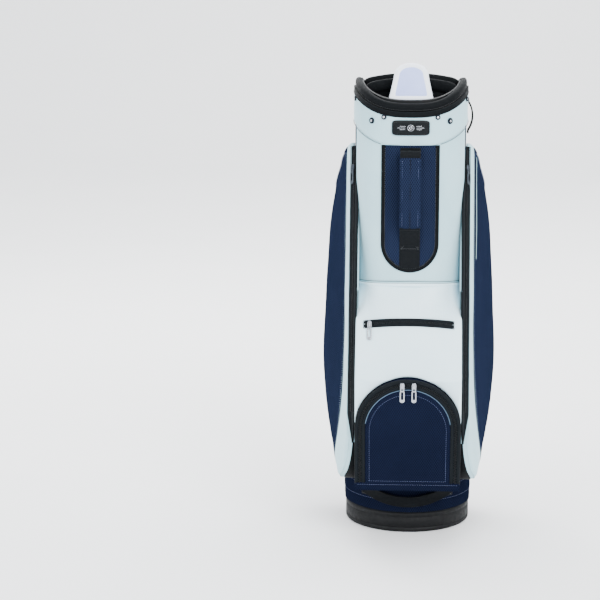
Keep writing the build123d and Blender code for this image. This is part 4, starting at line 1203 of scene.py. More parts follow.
# --- middle pocket ------------------------------------------------------------------------
MID_HALF = high("mid_pocket")[0]
MID_SLOPE = unit(np.array([0, MID_TOP[0] - MID_KINK[0], MID_TOP[1] - MID_KINK[1]]))
MID_OUT = np.cross([1.0, 0, 0], MID_SLOPE)
ZIP_HALF_X = high("mid_zip")[0]
ZIP_MID_Z = 440.0
ZIP_RISE = 4.5
ARCH_Z = BALL_MIDDLE[1]


def mid_front_y(z):
    return np.interp(z, [MID_KINK[1] - 91, MID_KINK[1], MID_TOP[1], 600],
                     [MID_KINK[0] + 12, MID_KINK[0], MID_TOP[0], MID_TOP[0]])


def mid_point(x, up, lift):
    """Point on the middle pocket's slope: up is measured along the slope from the zip."""
    x, up, lift = [side[..., None] for side in np.broadcast_arrays(x, up, lift)]
    start = np.array([0, mid_front_y(ZIP_MID_Z), ZIP_MID_Z])
    return start + x * [1.0, 0, 0] + up * MID_SLOPE + lift * MID_OUT


def mid_puff(x, z):
    """How far the cloth stands out of the flat slope."""
    rise = np.clip((z - 345) / 160, 0, 1)
    wide = np.clip(1 - (np.abs(x) / (MID_HALF - 2)) ** 4, 0, 1)
    puff = 4.2 * np.sin(pi * rise) ** 0.7 * wide
    near_zip = bell(z, ZIP_MID_Z, 13) * (np.abs(x) < ZIP_HALF_X + 14)
    pull = 1.2 * bell(np.abs(x), ZIP_HALF_X + 6, 9) * bell(z, ZIP_MID_Z, 16)
    return puff - 2.2 * near_zip + pull


def smooth_step(share):
    share = np.clip(share, 0, 1)
    return share * share * (3 - 2 * share)


def make_mid_pocket():
    cols, rows = 150, 90
    corner = 7.0
    top_bow = 6.5
    t = np.linspace(-1, 1, cols)
    half = MID_HALF - 4.5
    x = half * np.sin(t * pi / 2 * 0.97) / sin(pi / 2 * 0.97)
    inside = np.clip(1 - (x / (ARCH_RADIUS + 1.2)) ** 2, 0, None)
    bottom = np.where(np.abs(x) < ARCH_RADIUS, ARCH_Z + (ARCH_RADIUS + 1.2) * np.sqrt(inside), ARCH_Z + 8.0)
    top = MID_TOP[1] + bow(x, MID_HALF, top_bow) - 1.0
    z = bottom + np.linspace(0, 1, rows)[:, None] * (top - bottom)
    flat = xyz(x, mid_front_y(z), z).reshape(-1, 3)
    puff = mid_puff(flat[:, 0], flat[:, 2])
    wave = noise_waves(flat * np.array([1, 1, 1.2]), 91, 58, 0.55)
    wave = wave * (1 - bell(flat[:, 2], ZIP_MID_Z, 20))
    round_off = corner * (1 - arc_rise(half - np.abs(flat[:, 0]), corner))
    flat[:, 1] += round_off - puff * 0.84 - wave
    flat[:, 2] += puff * 0.4
    flat[:, 1] += edge_roll(rows, cols, 2.2, 2.2, "uU").reshape(-1)
    onto_body = smooth_step((flat[:, 2] - 430.0) / 78.0)
    body_y = body_front_y(flat[:, 0], flat[:, 2], 4.2)
    flat[:, 1] += (body_y - flat[:, 1]) * onto_body * np.clip((np.abs(flat[:, 0]) - 20) / 60, 0, 1) ** 0.8
    outer = flat.reshape(rows, cols, 3)
    inner = front_skin(outer[..., 0], outer[..., 2], 0.6)
    inner[..., 1] = np.maximum(inner[..., 1], outer[..., 1] + 1.5)
    pocket = add_mesh("mid_pocket_leather", closed_shell(outer, inner), WHITE_BRIGHT,
                      "mid_pocket")

    x = np.linspace(-MID_HALF + 3, MID_HALF - 3, 90)
    arch = MID_TOP[1] + bow(x, MID_HALF, top_bow)
    path = xyz(x, body_front_y(x, arch, 3.6), arch + 1.4)
    fold = sweep(path, soft_section(2.0, 3.4, 2.4, 16), (0, -0.25, 1))
    add_mesh("mid_pocket_top_fold", fold, WHITE_BRIGHT)
    path = xyz(x, body_front_y(x, arch + 6.0, 2.9), arch + 6.4)
    add_mesh("mid_pocket_seam_welt", sweep(path, soft_section(1.3, 1.9, 2.2, 14), (0, 0, 1)), WHITE)
    # Painted shadow: two thin dark tubes in the seam-shadow colour stand in for the shade on either side of
    # the seam welt above the top fold.
    creases = [tube_along(xyz(x, body_front_y(x, arch, 3.9), arch + rise), 0.6, False, 8)
               for rise in (4.9, 8.4)]
    add_mesh("mid_pocket_shadow_lines", merge(creases), SEAM_SHADE)
    line = xyz(x, body_front_y(x, arch + 9.6, 3.2), arch + 10.2)
    add_mesh("mid_pocket_stitching", stitch_row(line, (0, -1, 0), 4.4, 3.0, 0.8, 0.0), THREAD_WHITE)


def zip_lift(x, up):
    """How far the pocket's cloth stands off the slope beside its zip."""
    return 0.93 * mid_puff(x, ZIP_MID_Z + 0.87 * up)


def make_mid_zip():
    half = ZIP_HALF_X
    rows, cols = 18, 90
    x = np.linspace(-half, half, cols)
    from_middle = np.linspace(-8.3, 8.3, rows)[:, None]
    up = from_middle + bow(x, half, ZIP_RISE)
    groove = 0.7 * (np.abs(from_middle) < 3.4)
    outer = mid_point(x, up, 1.5 + zip_lift(x, up) - groove - edge_roll(rows, cols, 1.5, 0.9))
    inner = mid_point(x, up, -1.5)
    add_mesh("mid_zip_tape", closed_shell(outer, inner), TAPE, "mid_zip")
    x = np.linspace(-half + 4, half - 4, 120)
    rise = bow(x, half, ZIP_RISE)
    line = mid_point(x, rise, 0.5 + zip_lift(x, rise))
    add_mesh("mid_zip_coil", coil(line, MID_OUT), COIL)
    rows_of = []
    for up_at in (-10.4, 10.4):
        line = mid_point(x, rise + up_at, 1.0 + zip_lift(x, rise + up_at))
        rows_of.append(stitch_row(line, MID_OUT, 4.2, 2.8, 0.8, 0.0))
    up = np.linspace(-7, 7, 6)
    for end in (2.2 - half, half - 2.2):
        line = mid_point(end, up, 1.8 + zip_lift(half, up))
        rows_of.append(stitch_row(line, MID_OUT, 3.6, 2.5, 0.8, 0.0))
    add_mesh("mid_zip_stitching", merge(rows_of), THREAD_WHITE)


# --- ball pocket --------------------------------------------------------------------------
PANEL_RADIUS = ARCH_RADIUS - ARCH_TAPE


def ball_front_y(z):
    return np.interp(z, [BALL_BOTTOM, BALL_LOW[1], BALL_MIDDLE[1], BALL_TOP[1]],
                     [BALL_LOW[0] + 9, BALL_LOW[0], BALL_MIDDLE[0], BALL_TOP[0]])


def ball_out(z):
    dz = 4.0
    slope = (ball_front_y(z + dz) - ball_front_y(z - dz)) / (2 * dz)
    return unit(xyz(0, -1, slope))


def arch_line(radius, foot, count):
    """Open arch outline from one foot over the top to the other, as (x, z)."""
    turn = np.radians(np.linspace(180, 0, 90))
    arc = np.stack([radius * np.cos(turn), ARCH_Z + radius * np.sin(turn)], 1)
    return resample(np.vstack([[(-radius, foot)], arc, [(radius, foot)]]), count)


def ball_place(across, up, lift):
    """Points on the ball pocket's sloping front, lifted off it."""
    return xyz(across, ball_front_y(up), up) + ball_out(np.asarray(up, float)) * np.asarray(lift)[..., None]


def make_ball_pocket():
    foot = BALL_BOTTOM + 2.0
    rim = arch_line(ARCH_RADIUS - 1.2, foot, 200)
    rim_x, rim_z = rim.T
    share = np.linspace(0, 1, 30)[:, None]
    front, back = ball_front_y(rim_z) + 6.5, -118.0
    puff = 1.1 * np.sin(pi * share)
    outer = xyz(rim_x + np.sign(rim_x) * np.minimum(puff, 1.0) * (rim_z < ARCH_Z),
                front + (back - front) * share, rim_z + (rim_z > ARCH_Z) * puff)
    inner = outer + unit(([0, 0, ARCH_Z - 40.0] - outer) * [1, 0, 1]) * 2.4
    gusset = merge([closed_shell(outer, inner), floor_of_ball(foot)])
    add_mesh("ball_pocket_gusset", gusset, NAVY_DARK, "ball_pocket")

    line = arch_line(ARCH_RADIUS - ARCH_TAPE / 2, BALL_FOOT - 5, 220)
    up = ball_out(line[:, 1])
    tape = sweep(ball_place(*line.T, 0.2), tape_section(ARCH_TAPE / 2 + 0.6), up)
    add_mesh("ball_zip_tape", tape, TAPE, "ball_zip")
    path = ball_place(*line.T, 0.9)
    add_mesh("ball_zip_coil", coil(path[2:-2], up[2:-2]), COIL)

    edge = arch_line(ARCH_RADIUS - 1.0, BALL_FOOT - 5, 220)
    path = ball_place(*edge.T, -1.6)
    add_mesh("ball_pocket_outer_piping", tube_along(path, 2.1, False, 10, (0, -1, 0)), BLACK_EDGE)

    outline = arch_line(PANEL_RADIUS - 0.6, 122.0, 150)
    foot_line = np.stack([np.linspace(PANEL_RADIUS - 5, -PANEL_RADIUS + 5, 40),
                          120.0 - 2.0 * np.cos(np.linspace(-pi / 2, pi / 2, 40))], 1)
    outline = resample(np.vstack([outline, foot_line]), 200, True)

    def top(away):
        return 0.2 + 2.0 * arc_rise(away, 4.0) + 8.0 / (1 + np.exp((44.0 - away) / 8.0))

    middle = np.array([0, 225.0])
    panel_mesh = dome(outline, top, flat_at(-2.0), ball_place, 30, middle, 1.3)

    def near_zip(points):
        return (np.linalg.norm((points[:, ::2] - middle) / [PANEL_RADIUS, 108.0], axis=1) > 0.86) | (
            points[:, 1] > ball_front_y(points[:, 2]) + 0.5)

    shift = settle("ball_panel_trial", *panel_mesh, 3.0, 5.0, 4.0, near_zip)
    panel = add_mesh("ball_panel_pad", swelled(shift, panel_mesh), NAVY_DARK,
                     "ball_panel")
    loop = looped(outline)
    crest = arch_line(PANEL_RADIUS - 0.4, 215.0, 200)
    crest = crest[crest[:, 1] > ARCH_Z + 12]
    path = ball_place(*crest.T, 1.9)
    add_mesh("ball_panel_piping", tube_along(path, 0.75, False, 10, (0, -1, 0)), PIPING)
    inner_line = middle + (loop - middle) * 0.9
    inner_line[:, 1] = np.maximum(inner_line[:, 1], BALL_FOOT + 4.0)
    path = ball_place(*inner_line.T, top(line_distance(inner_line, loop)) + 0.15)
    path = path + shift(path)
    outer, band = ball_foot_band(foot)
    add_mesh("ball_foot_band", band, NAVY_DARK)
    seam = outer[-4, 3:-3]
    add_mesh("ball_foot_stitching", stitch_row(seam, ball_out(seam[:, 2]), 4.4, 3.0, 0.8), THREAD_NAVY)
    add_mesh("ball_panel_stitching", stitch_row(path, ball_out(inner_line[:, 1]), 4.4, 3.0, 0.8, 0.0),
             THREAD_NAVY)


def ball_foot_band(foot):
    """Navy band along the bottom of the ball pocket, over the ends of its zip."""
    rows, cols = 20, 90
    x = np.linspace(-ARCH_RADIUS - 0.9, ARCH_RADIUS + 0.9, cols)
    share = np.linspace(0, 1, rows)[:, None]
    z = foot - 1.0 + share * (BALL_FOOT - foot + 1.0) + 0 * x
    lift = 2.6 + 1.2 * np.sin(pi * share) - edge_roll(rows, cols, 2.0, 1.6)
    corner = 1.4 * np.clip((np.abs(x) - ARCH_RADIUS + 2.0) / 3.0, 0, 1) ** 2
    outer = ball_place(x, z, lift - corner)
    return outer, closed_shell(outer, ball_place(x, z, -7.0))


def floor_of_ball(foot):
    """Underside of the ball pocket, from its front edge back to the tube."""
    rows, cols = 16, 50
    x = np.linspace(-ARCH_RADIUS + 2, ARCH_RADIUS - 2, cols)
    share = np.linspace(0, 1, rows)[:, None]
    front = BALL_LOW[0] + 8.0
    lower = xyz(x, front + share * (-124.0 - front), foot + 8.0 * (1 - share) ** 3)
    return closed_shell(lower + [0, 0, 3.0], lower)


def tape_section(half):
    """Zip tape with a folded edge on each side and a hollow for the teeth."""
    return np.array([(-half, -1.2), (half, -1.2), (half, 0.6), (half - 1.2, 1.5), (half - 3.6, 1.6),
                     (4.2, 1.3), (3.2, 0.3), (0, 0.2), (-3.2, 0.3), (-4.2, 1.3), (-half + 3.6, 1.6),
                     (-half + 1.2, 1.5), (-half, 0.6)])


# --- side pockets -------------------------------------------------------------------------
def curve_through(spots, at):
    """Smooth curve through (input, value) spots, level past its ends."""
    spots = np.array(sorted(spots), float)
    a, b = spots[:, 0], spots[:, 1]
    slope = np.gradient(b, a)
    at = np.clip(np.asarray(at, float), a[0], a[-1])
    k = np.clip(np.searchsorted(a, at) - 1, 0, len(a) - 2)
    run = a[k + 1] - a[k]
    t = (at - a[k]) / run
    return (b[k] * (1 + 2 * t) * (1 - t) ** 2 + b[k + 1] * t ** 2 * (3 - 2 * t)
            + slope[k] * run * t * (1 - t) ** 2 + slope[k + 1] * run * t ** 2 * (t - 1))


def soft_min(a, b, width):
    share = np.clip(0.5 + 0.5 * (b - a) / width, 0, 1)
    return b * (1 - share) + a * share - width * share * (1 - share)


def strip_edge(z):
    share = (STRIP_TOP[1] - z) / (STRIP_TOP[1] - STRIP_LOW[1])
    return STRIP_TOP[0] + share * (STRIP_LOW[0] - STRIP_TOP[0])


def side_x(y, z):
    """Distance of the side pocket's outer face from X = 0."""
    front = curve_through([(100, 131), (180, 155), (300, SIDE_HALF - 0.6), (480, SIDE_HALF - 0.6),
                           (680, 152), (745, 136), (800, 119)], z)
    cheek = 119.0 + 0.2465 * np.clip(y - strip_edge(z), -20, 400)
    back = curve_through([(40, SIDE_HALF + 4), (90, SIDE_HALF), (125, 158), (140, 141), (150, 114),
                          (155, 88)], y)
    return soft_min(soft_min(front, cheek, 7.0), back, 6.0)


SIDE_TOP_EDGE = [(-3.0, 770.5), (50.0, 748.0), (95.0, 724.0), (120.0, 705.0), (141.0, 676.0), (154.0, 640.0)]
SIDE_BOTTOM_EDGE = [(-90.0, 106.0), (-50.0, 104.2), (-10.0, 104.0), (30.0, 107.0), (66.0, 116.0),
                    (96.0, 132.0), (122.0, 154.0), (141.0, 180.0), (151.5, 212.0), (155.0, 250.0)]
STRIP_FOOT_EDGE = [(-209.0, 215.0), (-206.0, 180.0), (-190.0, 150.0), (-171.0, 134.0), (-150.0, 121.5),
                   (-120.0, 111.0), (-90.0, 106.0)]
SEAM_TOP = SIDE_TOP_EDGE[0]
SEAM_BEND = (-128.0, 345.0)
SEAM_ARC = (SEAM_BEND, (-122.0, 225.0), SIDE_BOTTOM_EDGE[0])
SIDE_REAR_FOOT = (155.0, 260.0)
OUT_LEFT = (-1, 0, 0)


def navy_seam(count):
    """Seam between the white strip and the navy side, from the bottom up, as (y, z)."""
    arc = arc_through(SEAM_ARC[::-1], 50)
    return resample(smooth_line(np.vstack([arc[:-4], [SEAM_BEND], [SEAM_TOP]]), 2), count)


def coons(bottom, top, front, back):
    """Grid between four edges: rows run up the front and back, columns along bottom and top."""
    cols, rows = len(bottom), len(front)
    u = np.linspace(0, 1, cols)[None, :, None]
    v = np.linspace(0, 1, rows)[:, None, None]
    grid = (1 - v) * bottom + v * top + (1 - u) * front[:, None] + u * back[:, None]
    corners = ((1 - u) * (1 - v) * bottom[0] + u * (1 - v) * bottom[-1]
               + (1 - u) * v * top[0] + u * v * top[-1])
    return grid - corners


def side_inner(y, z):
    wall = body_half_x(y, z, 0.8)
    wall = np.where(y < -60, np.maximum(wall, 100.0), wall)
    return np.maximum(wall, 52.0)


def side_skin(points, rims, seams, seed, puff):
    """Outer face over (y, z) points: rims turn in over a round edge, seams are shallow grooves."""
    y, z = points[:, 0], points[:, 1]
    x = side_x(y, z)
    away = line_distance(points, rims)
    spread = np.minimum(away, 60.0)
    swell = puff * (1 - np.exp(-spread / 30.0))
    wave = noise_waves(xyz(y * 1.1, z * 0.55, 0), seed, 74, 1.0)
    x = x + swell + np.minimum(wave * (1 - np.exp(-spread / 25.0)), 1.6) - 11.0 * (1 - arc_rise(away, 11.0))
    for seam in seams:
        x = x - 1.9 * bell(line_distance(points, seam), 0, 2.1)
    return x


def side_patch(bottom, top, front, back, rims, seams, seed, puff):
    flat = coons(bottom, top, front, back)
    rows, cols = flat.shape[:2]
    points = flat.reshape(-1, 2)
    y, z = points.T
    x = side_skin(points, rims, seams, seed, puff)
    inner = np.minimum(side_inner(y, z), x - 2.0)
    return closed_shell(xyz(-x, y, z).reshape(rows, cols, 3), xyz(-inner, y, z).reshape(rows, cols, 3))


def on_side(line, rims, lift):
    """(y, z) line laid on the left side pocket's face."""
    return xyz(-(side_skin(line, rims, [], 101, 2.0) + lift), line[:, 0], line[:, 1])


def inset_line(line, distance, towards):
    ahead = unit(np.gradient(line, axis=0))
    normal = np.stack([-ahead[:, 1], ahead[:, 0]], 1)
    sign = np.sign(np.sum(normal * (np.asarray(towards) - line), 1))[:, None]
    return line + normal * sign * distance


def eased(line, reach=9):
    """Line with its corners averaged away and its ends kept."""
    padded = np.vstack([np.repeat(line[:1], reach, 0), line, np.repeat(line[-1:], reach, 0)])
    share = np.ones(2 * reach + 1) / (2 * reach + 1)
    return np.stack([np.convolve(padded[:, k], share, "valid") for k in range(line.shape[1])], 1)


def make_side_pockets():
    cols, rows = 74, 170
    top = resample(smooth_line(SIDE_TOP_EDGE, 2), cols)
    bottom = resample(smooth_line(SIDE_BOTTOM_EDGE, 2), cols)
    seam = navy_seam(rows)
    back = resample(np.array([SIDE_BOTTOM_EDGE[-1], SIDE_TOP_EDGE[-1]]), rows)
    rim_line = np.vstack([bottom, [SIDE_REAR_FOOT]])
    navy = side_patch(bottom, top, seam, back, rim_line, [resample(seam, 40)], 101, 2.0)
    strip_foot = resample(smooth_line(STRIP_FOOT_EDGE, 2), 34)
    strip_top = resample(np.array([(-36.5, 782.0), SEAM_TOP]), 34)
    strip_front = resample(np.array([strip_foot[0], strip_top[0]]), rows)
    strip = side_patch(strip_foot, strip_top, strip_front, seam, strip_foot, [resample(seam, 40)], 102, 0.5)
    outline = np.vstack([bottom[2:], back[1:-1], top[::-1]])
    piping_line, stitch_line = [
        eased(resample(inset_line(resample(outline, 300), gap, (20.0, 430.0)), 260)) for gap in (10.0, 15.5)]
    piping = tube_along(eased(on_side(piping_line, rim_line, 0.6), 3), 1.25, False, 8, OUT_LEFT)
    stitches = [stitch_row(on_side(stitch_line, rim_line, 0.4), OUT_LEFT, 4.4, 3.0, 0.8, 0.0)]
    foot_line = resample(inset_line(resample(strip_foot, 80), 3.0, (-120.0, 240.0)), 70)
    foot_piping = tube_along(on_side(foot_line, strip_foot, -0.6), 1.3, False, 8, OUT_LEFT)
    navy_line = resample(inset_line(seam[4:-4], 4.5, (60.0, 430.0)), 160)
    stitches.append(stitch_row(on_side(navy_line, rim_line, 0.3), OUT_LEFT, 4.4, 3.0, 0.8, 0.0))
    white_line = resample(inset_line(seam[4:-4], 4.0, (-300.0, 430.0)), 160)
    white_stitch = stitch_row(on_side(white_line, strip_foot, 0.2), OUT_LEFT, 4.4, 3.0, 0.8, 0.0)

    z = np.linspace(777.0, 209.0, 150)
    close = np.clip((z - 205.0) / 60.0, 0.12, 1.0)
    tape_path = xyz(-(111.4 - 3.5 * (1 - close)), strip_edge(z) - 9.0 * close, z)
    along = unit(np.array([0, STRIP_TOP[0] - STRIP_LOW[0], STRIP_TOP[1] - STRIP_LOW[1]]))
    across = np.array([ZIP_OUTER_X - ZIP_INNER_X, -ZIP_DEPTH, 0.0])
    out = unit(np.cross(across, along))
    out = -out if out[0] > 0 else out
    tape = sweep(tape_path, tape_section(12.2), out, False, np.stack([close, np.ones(len(z))], 1))
    teeth = coil(tape_path[2:-16] + out * 0.5, out)
    edge_path = xyz(-(119.6 - 1.0 * (1 - close)), strip_edge(z) + 0.6, z)
    welt = tube_along(edge_path[:-4], 1.7, False, 10, out)
    inner_path = xyz(-104.8, strip_edge(z) - 16.6 * close, z) + out * 1.3
    tape_stitch = stitch_row(inner_path[:-12] + np.array([-3.2, 4.0, 0]), out, 4.2, 2.8, 0.7, 0.0)

    outer_edge = resample(np.vstack([seam, top]), 60)

    def sewn(points):
        near = line_distance(points[:, 1:], outer_edge) < 16.0
        return near | (-points[:, 0] < side_inner(points[:, 1], points[:, 2]) + 9.0)

    shift = settle("side_pocket_trial", *navy, 5.0, 6.5, 5.0, sewn)
    navy, piping = swelled(shift, navy), swelled(shift, piping)
    stitches = swelled(shift, merge(stitches))
    welt_line = resample(inset_line(seam[4:-4], 9.5, (60.0, 430.0)), 200)
    welt_line = welt_line[(welt_line[:, 1] > 552.0) & (welt_line[:, 1] < 752.0)]
    extra = tube_along(on_side(welt_line, rim_line, 0.5), 1.5, False, 8, OUT_LEFT)
    extra_dark = tube_along(on_side(welt_line, rim_line, -0.2) + [0, -3.0, 0], 1.4, False, 8, OUT_LEFT)
    extra, extra_dark = swelled(shift, extra), swelled(shift, extra_dark)

    def build(side, flip):
        def put(name, skin, look, node):
            title = "side_" + name + "_" + side
            return add_mesh(title, (flip(skin[0]), skin[1]), look,
                            node and node + "_" + side)

        if side == "right":
            put("extra_welt", extra, WHITE, None)
            put("extra_seam", extra_dark, BLACK_EDGE, None)
        pocket = put("pocket_cloth", navy, NAVY, "side_pocket")
        band = put("strip_leather", strip, WHITE, "side_strip")
        band.data.materials.append(BLACK_EDGE)
        for face in band.data.polygons:
            z = face.center[2] / MM
            gap = 109.0 + 5.0 * min(1, (222 - z) / 70) + 15.0 * max(0, (142 - z) / 36) ** 2
            face.material_index = int(z < 208 and abs(face.center[0]) / MM < gap)
        put("zip_tape", tape, TAPE, "side_zip")
        put("zip_coil", teeth, COIL, None)
        put("strip_welt", welt, WHITE, None)
        put("pocket_piping", piping, DIM_PIPING, None)
        put("strip_piping", foot_piping, WHITE, None)
        put("pocket_stitching", stitches, THREAD_NAVY, None)
        put("strip_stitching", white_stitch, THREAD_WHITE, None)
        put("tape_stitching", tape_stitch, THREAD_BLACK, None)

    two_sides(build)


# --- zip sliders and pulls ----------------------------------------------------------------
def joint_place(name):
    return np.array(JOINTS[name]["pos_m"]) / MM


def slider_axes(pull_joint, up):
    """Origin and axes of a slider: X along the pull's bar, Y up the tape, Z out of it."""
    x = -unit(np.array(JOINTS[pull_joint]["axis"], float))
    y = unit(np.asarray(up, float))
    return joint_place(pull_joint), x, y, unit(np.cross(x, y))


def set_at(verts, place):
    origin, x, y, z = place
    verts = np.asarray(verts, float)
    return origin + verts[:, 0:1] * x + verts[:, 1:2] * y + verts[:, 2:3] * z


def slider_mesh():
    turn = np.arange(48) * 2 * pi / 48
    c, s = np.cos(turn), np.sin(turn)
    waist = 1 - 0.16 * np.clip(-s, 0, 1)
    outline = np.stack([4.4 * waist * bulge(c, 0.6), -1.0 + 6.9 * bulge(s, 0.7)], 1)
    body = dome(outline, lambda away: -2.2 + 1.0 * arc_rise(away, 1.6), flat_at(-3.5), xyz, 10)
    line = smooth_line(np.array([(0, 5.3, -1.6), (0, 5.2, 1.2), (0, 3.4, 2.3), (0, -4.0, 2.3), (0, -5.8, 1.1),
                                 (0, -5.9, -1.6)]), 3)
    bridge = sweep(line, soft_section(0.55, 1.25, 2.6, 16), (1, 0, 0))
    return merge([body, bridge])


def pull_mesh():
    """Long loop pull hanging along -Y from its bar."""
    half, tip = 3.5, -33.0
    corner = np.radians(np.linspace(0, -180, 19))
    end = np.stack([half * np.cos(corner), tip + 2.6 + 2.6 * np.sin(corner)], 1)
    neck = np.array([(-half, -12.5), (-2.9, -10.5), (-2.9, -8.6), (-3.2, -6.5), (-3.2, -1.2), (-2.4, 0.0),
                     (2.4, 0.0), (3.2, -1.2), (3.2, -6.5), (2.9, -8.6), (2.9, -10.5), (half, -12.5)])
    loop = resample(smooth_line(np.vstack([end, neck]), 1, True), 130, True)
    path = xyz(loop[:, 0], loop[:, 1], 0.0)
    wide = 1 + 0.35 * (path[:, 1] < -12)
    scale = np.stack([wide, np.ones(len(path))], 1)
    ring = sweep(path, soft_section(0.95, 0.8, 2.8, 16), (0, 0, 1), True, scale)
    bars = []
    for y, thick in ((-10.6, 1.5), (-29.6, 1.9)):
        line = xyz([-3.2, -1.5, 1.5, 3.2], y, 0.0)
        bars.append(sweep(line, soft_section(thick, 0.62, 2.8, 14), (0, 0, 1)))
    return merge([ring] + bars)


def make_sliders():
    up_mid = MID_SLOPE
    up_ball = unit(np.array([0, BALL_TOP[0] - BALL_MIDDLE[0], BALL_TOP[1] - BALL_MIDDLE[1]]))
    up_side = -np.array(JOINTS["side_zip_travel_left"]["axis"], float)
    slider, pull = slider_mesh(), pull_mesh()
    places = {"mid": ("mid_pull_lift", up_mid), "ball_left": ("ball_pull_lift_left", up_ball),
              "ball_right": ("ball_pull_lift_right", up_ball), "side_left": ("side_pull_lift_left", up_side)}
    for name, (joint, up) in places.items():
        place = slider_axes(joint, up)
        kind, _, side = name.partition("_")
        ends = [("_" + side if side else "", lambda verts: verts)]
        if kind == "side":
            ends = [("_left", lambda verts: verts), ("_right", mirrored)]
        for end, flip in ends:
            for part, mesh in (("slider", slider), ("pull", pull)):
                node = kind + "_" + part + end
                add_mesh(node + "_metal", (flip(set_at(mesh[0], place)), mesh[1]),
                         ZIP_DARK if kind == "side" else ZIP_SILVER, node, body=node)


# --- base handle --------------------------------------------------------------------------
LIFT_RADIUS = 137.0
LIFT_ARC = ((-94.5, 93.0), (0.0, 67.0), (94.5, 93.0))


def on_band(x, z, radius):
    """Points on the front of a cylinder about the base's axis."""
    return xyz(x, -np.sqrt(radius ** 2 - x ** 2), z)


def make_base_handle():
    line = arc_through(LIFT_ARC, 81)
    x, z = line[:, 0], line[:, 1]
    y = -np.sqrt(LIFT_RADIUS ** 2 - x ** 2)
    path = xyz(x, y, z)
    ends = np.array([[-84.0, -101.2, 99.0], [-90.5, -100.0, 96.0]])
    path = resample(np.vstack([ends, path[2:-2], mirrored(ends)[::-1]]), 90)
    up = unit(path * np.array([1, 1, 0]))
    add_mesh("base_handle_web", flat_strap(path, 10.6, 1.35, up), BLACK_WEB_LEVEL,
             "base_handle", body="base_handle")
    tabs, rows_of = [], []
    rows, cols = 18, 16
    for start, end in ((-92.0, -79.0), (70.0, 92.0)):
        x, z = np.linspace(start, end, cols), np.linspace(72.0, 101.0, rows)[:, None]
        lift = BAND_RADIUS + 2.3 - edge_roll(rows, cols, 1.5, 1.0)
        tabs.append(closed_shell(on_band(x, z, lift), on_band(x, z, BAND_RADIUS - 1.5)))
        a, b = (start + 2.4, 75), (end - 2.4, 75)
        c, d = (end - 2.4, 98), (start + 2.4, 98)
        spots = on_band(*resample([a, b, c, d, a, c, b, d], 60).T, BAND_RADIUS + 2.4)
        rows_of.append(stitch_row(spots, unit(spots * np.array([1, 1, 0])), 3.2, 2.3, 0.7, 0.0))
    add_mesh("base_handle_tabs", merge(tabs), BLACK_WEB, "base_handle_anchors")
    add_mesh("base_handle_tab_stitching", merge(rows_of), THREAD_BLACK)


# --- back and shoulder strap --------------------------------------------------------------
SPINE_HALF = high("spine_panel")[0]
SPINE_LOW = low("spine_panel")[2]
PAD_ARC = ((170.0, 762.0), (181.0, 600.0), (158.0, 404.0))
PAD_HALF = high("strap_pad")[0]
PAD_THICK = 18.0
STRAP_HALF = high("strap_webbing")[0]
STRAP_Y = 146.0
STRAP_FOOT = low("strap_webbing")[2]


def make_spine():
    rows, cols = 150, 44
    top = float(cuff_foot(COLLAR_BACK - 4)) + 2.0
    z = np.linspace(SPINE_LOW + 1.0, top, rows)[:, None]
    x = np.linspace(-SPINE_HALF + 1.0, SPINE_HALF - 1.0, cols)
    channel = 2.1 * np.abs(np.sin((z - SPINE_LOW) / 82.0 * pi)) ** 0.45 * (1 - (x / SPINE_HALF) ** 8)
    lift = 1.4 + channel - edge_roll(rows, cols, 2.2, 1.4, "uvV")
    outer = xyz(x, body_back_y(x, z, 0.4) + lift, z)
    inner = xyz(x, body_back_y(x, z, 0.3) - 0.6, z)
    panel = add_mesh("spine_panel_pad", closed_shell(outer, inner), BLACK_PAD,
                     "spine_panel")
    edge = []
    z = np.linspace(SPINE_LOW + 1.5, top, 90)
    for x in (0.6 - SPINE_HALF, SPINE_HALF - 0.6):
        edge.append(tube_along(xyz(x, body_back_y(x, z, 0.4) + 1.1, z), 1.4, False, 8, (0, 1, 0)))
    add_mesh("spine_panel_piping", merge(edge), TAPE)


def shank_axes():
    start, end = np.array([0, 147.0, 826.0]), np.array([0, 163.0, 776.0])
    return start, unit(end - start)


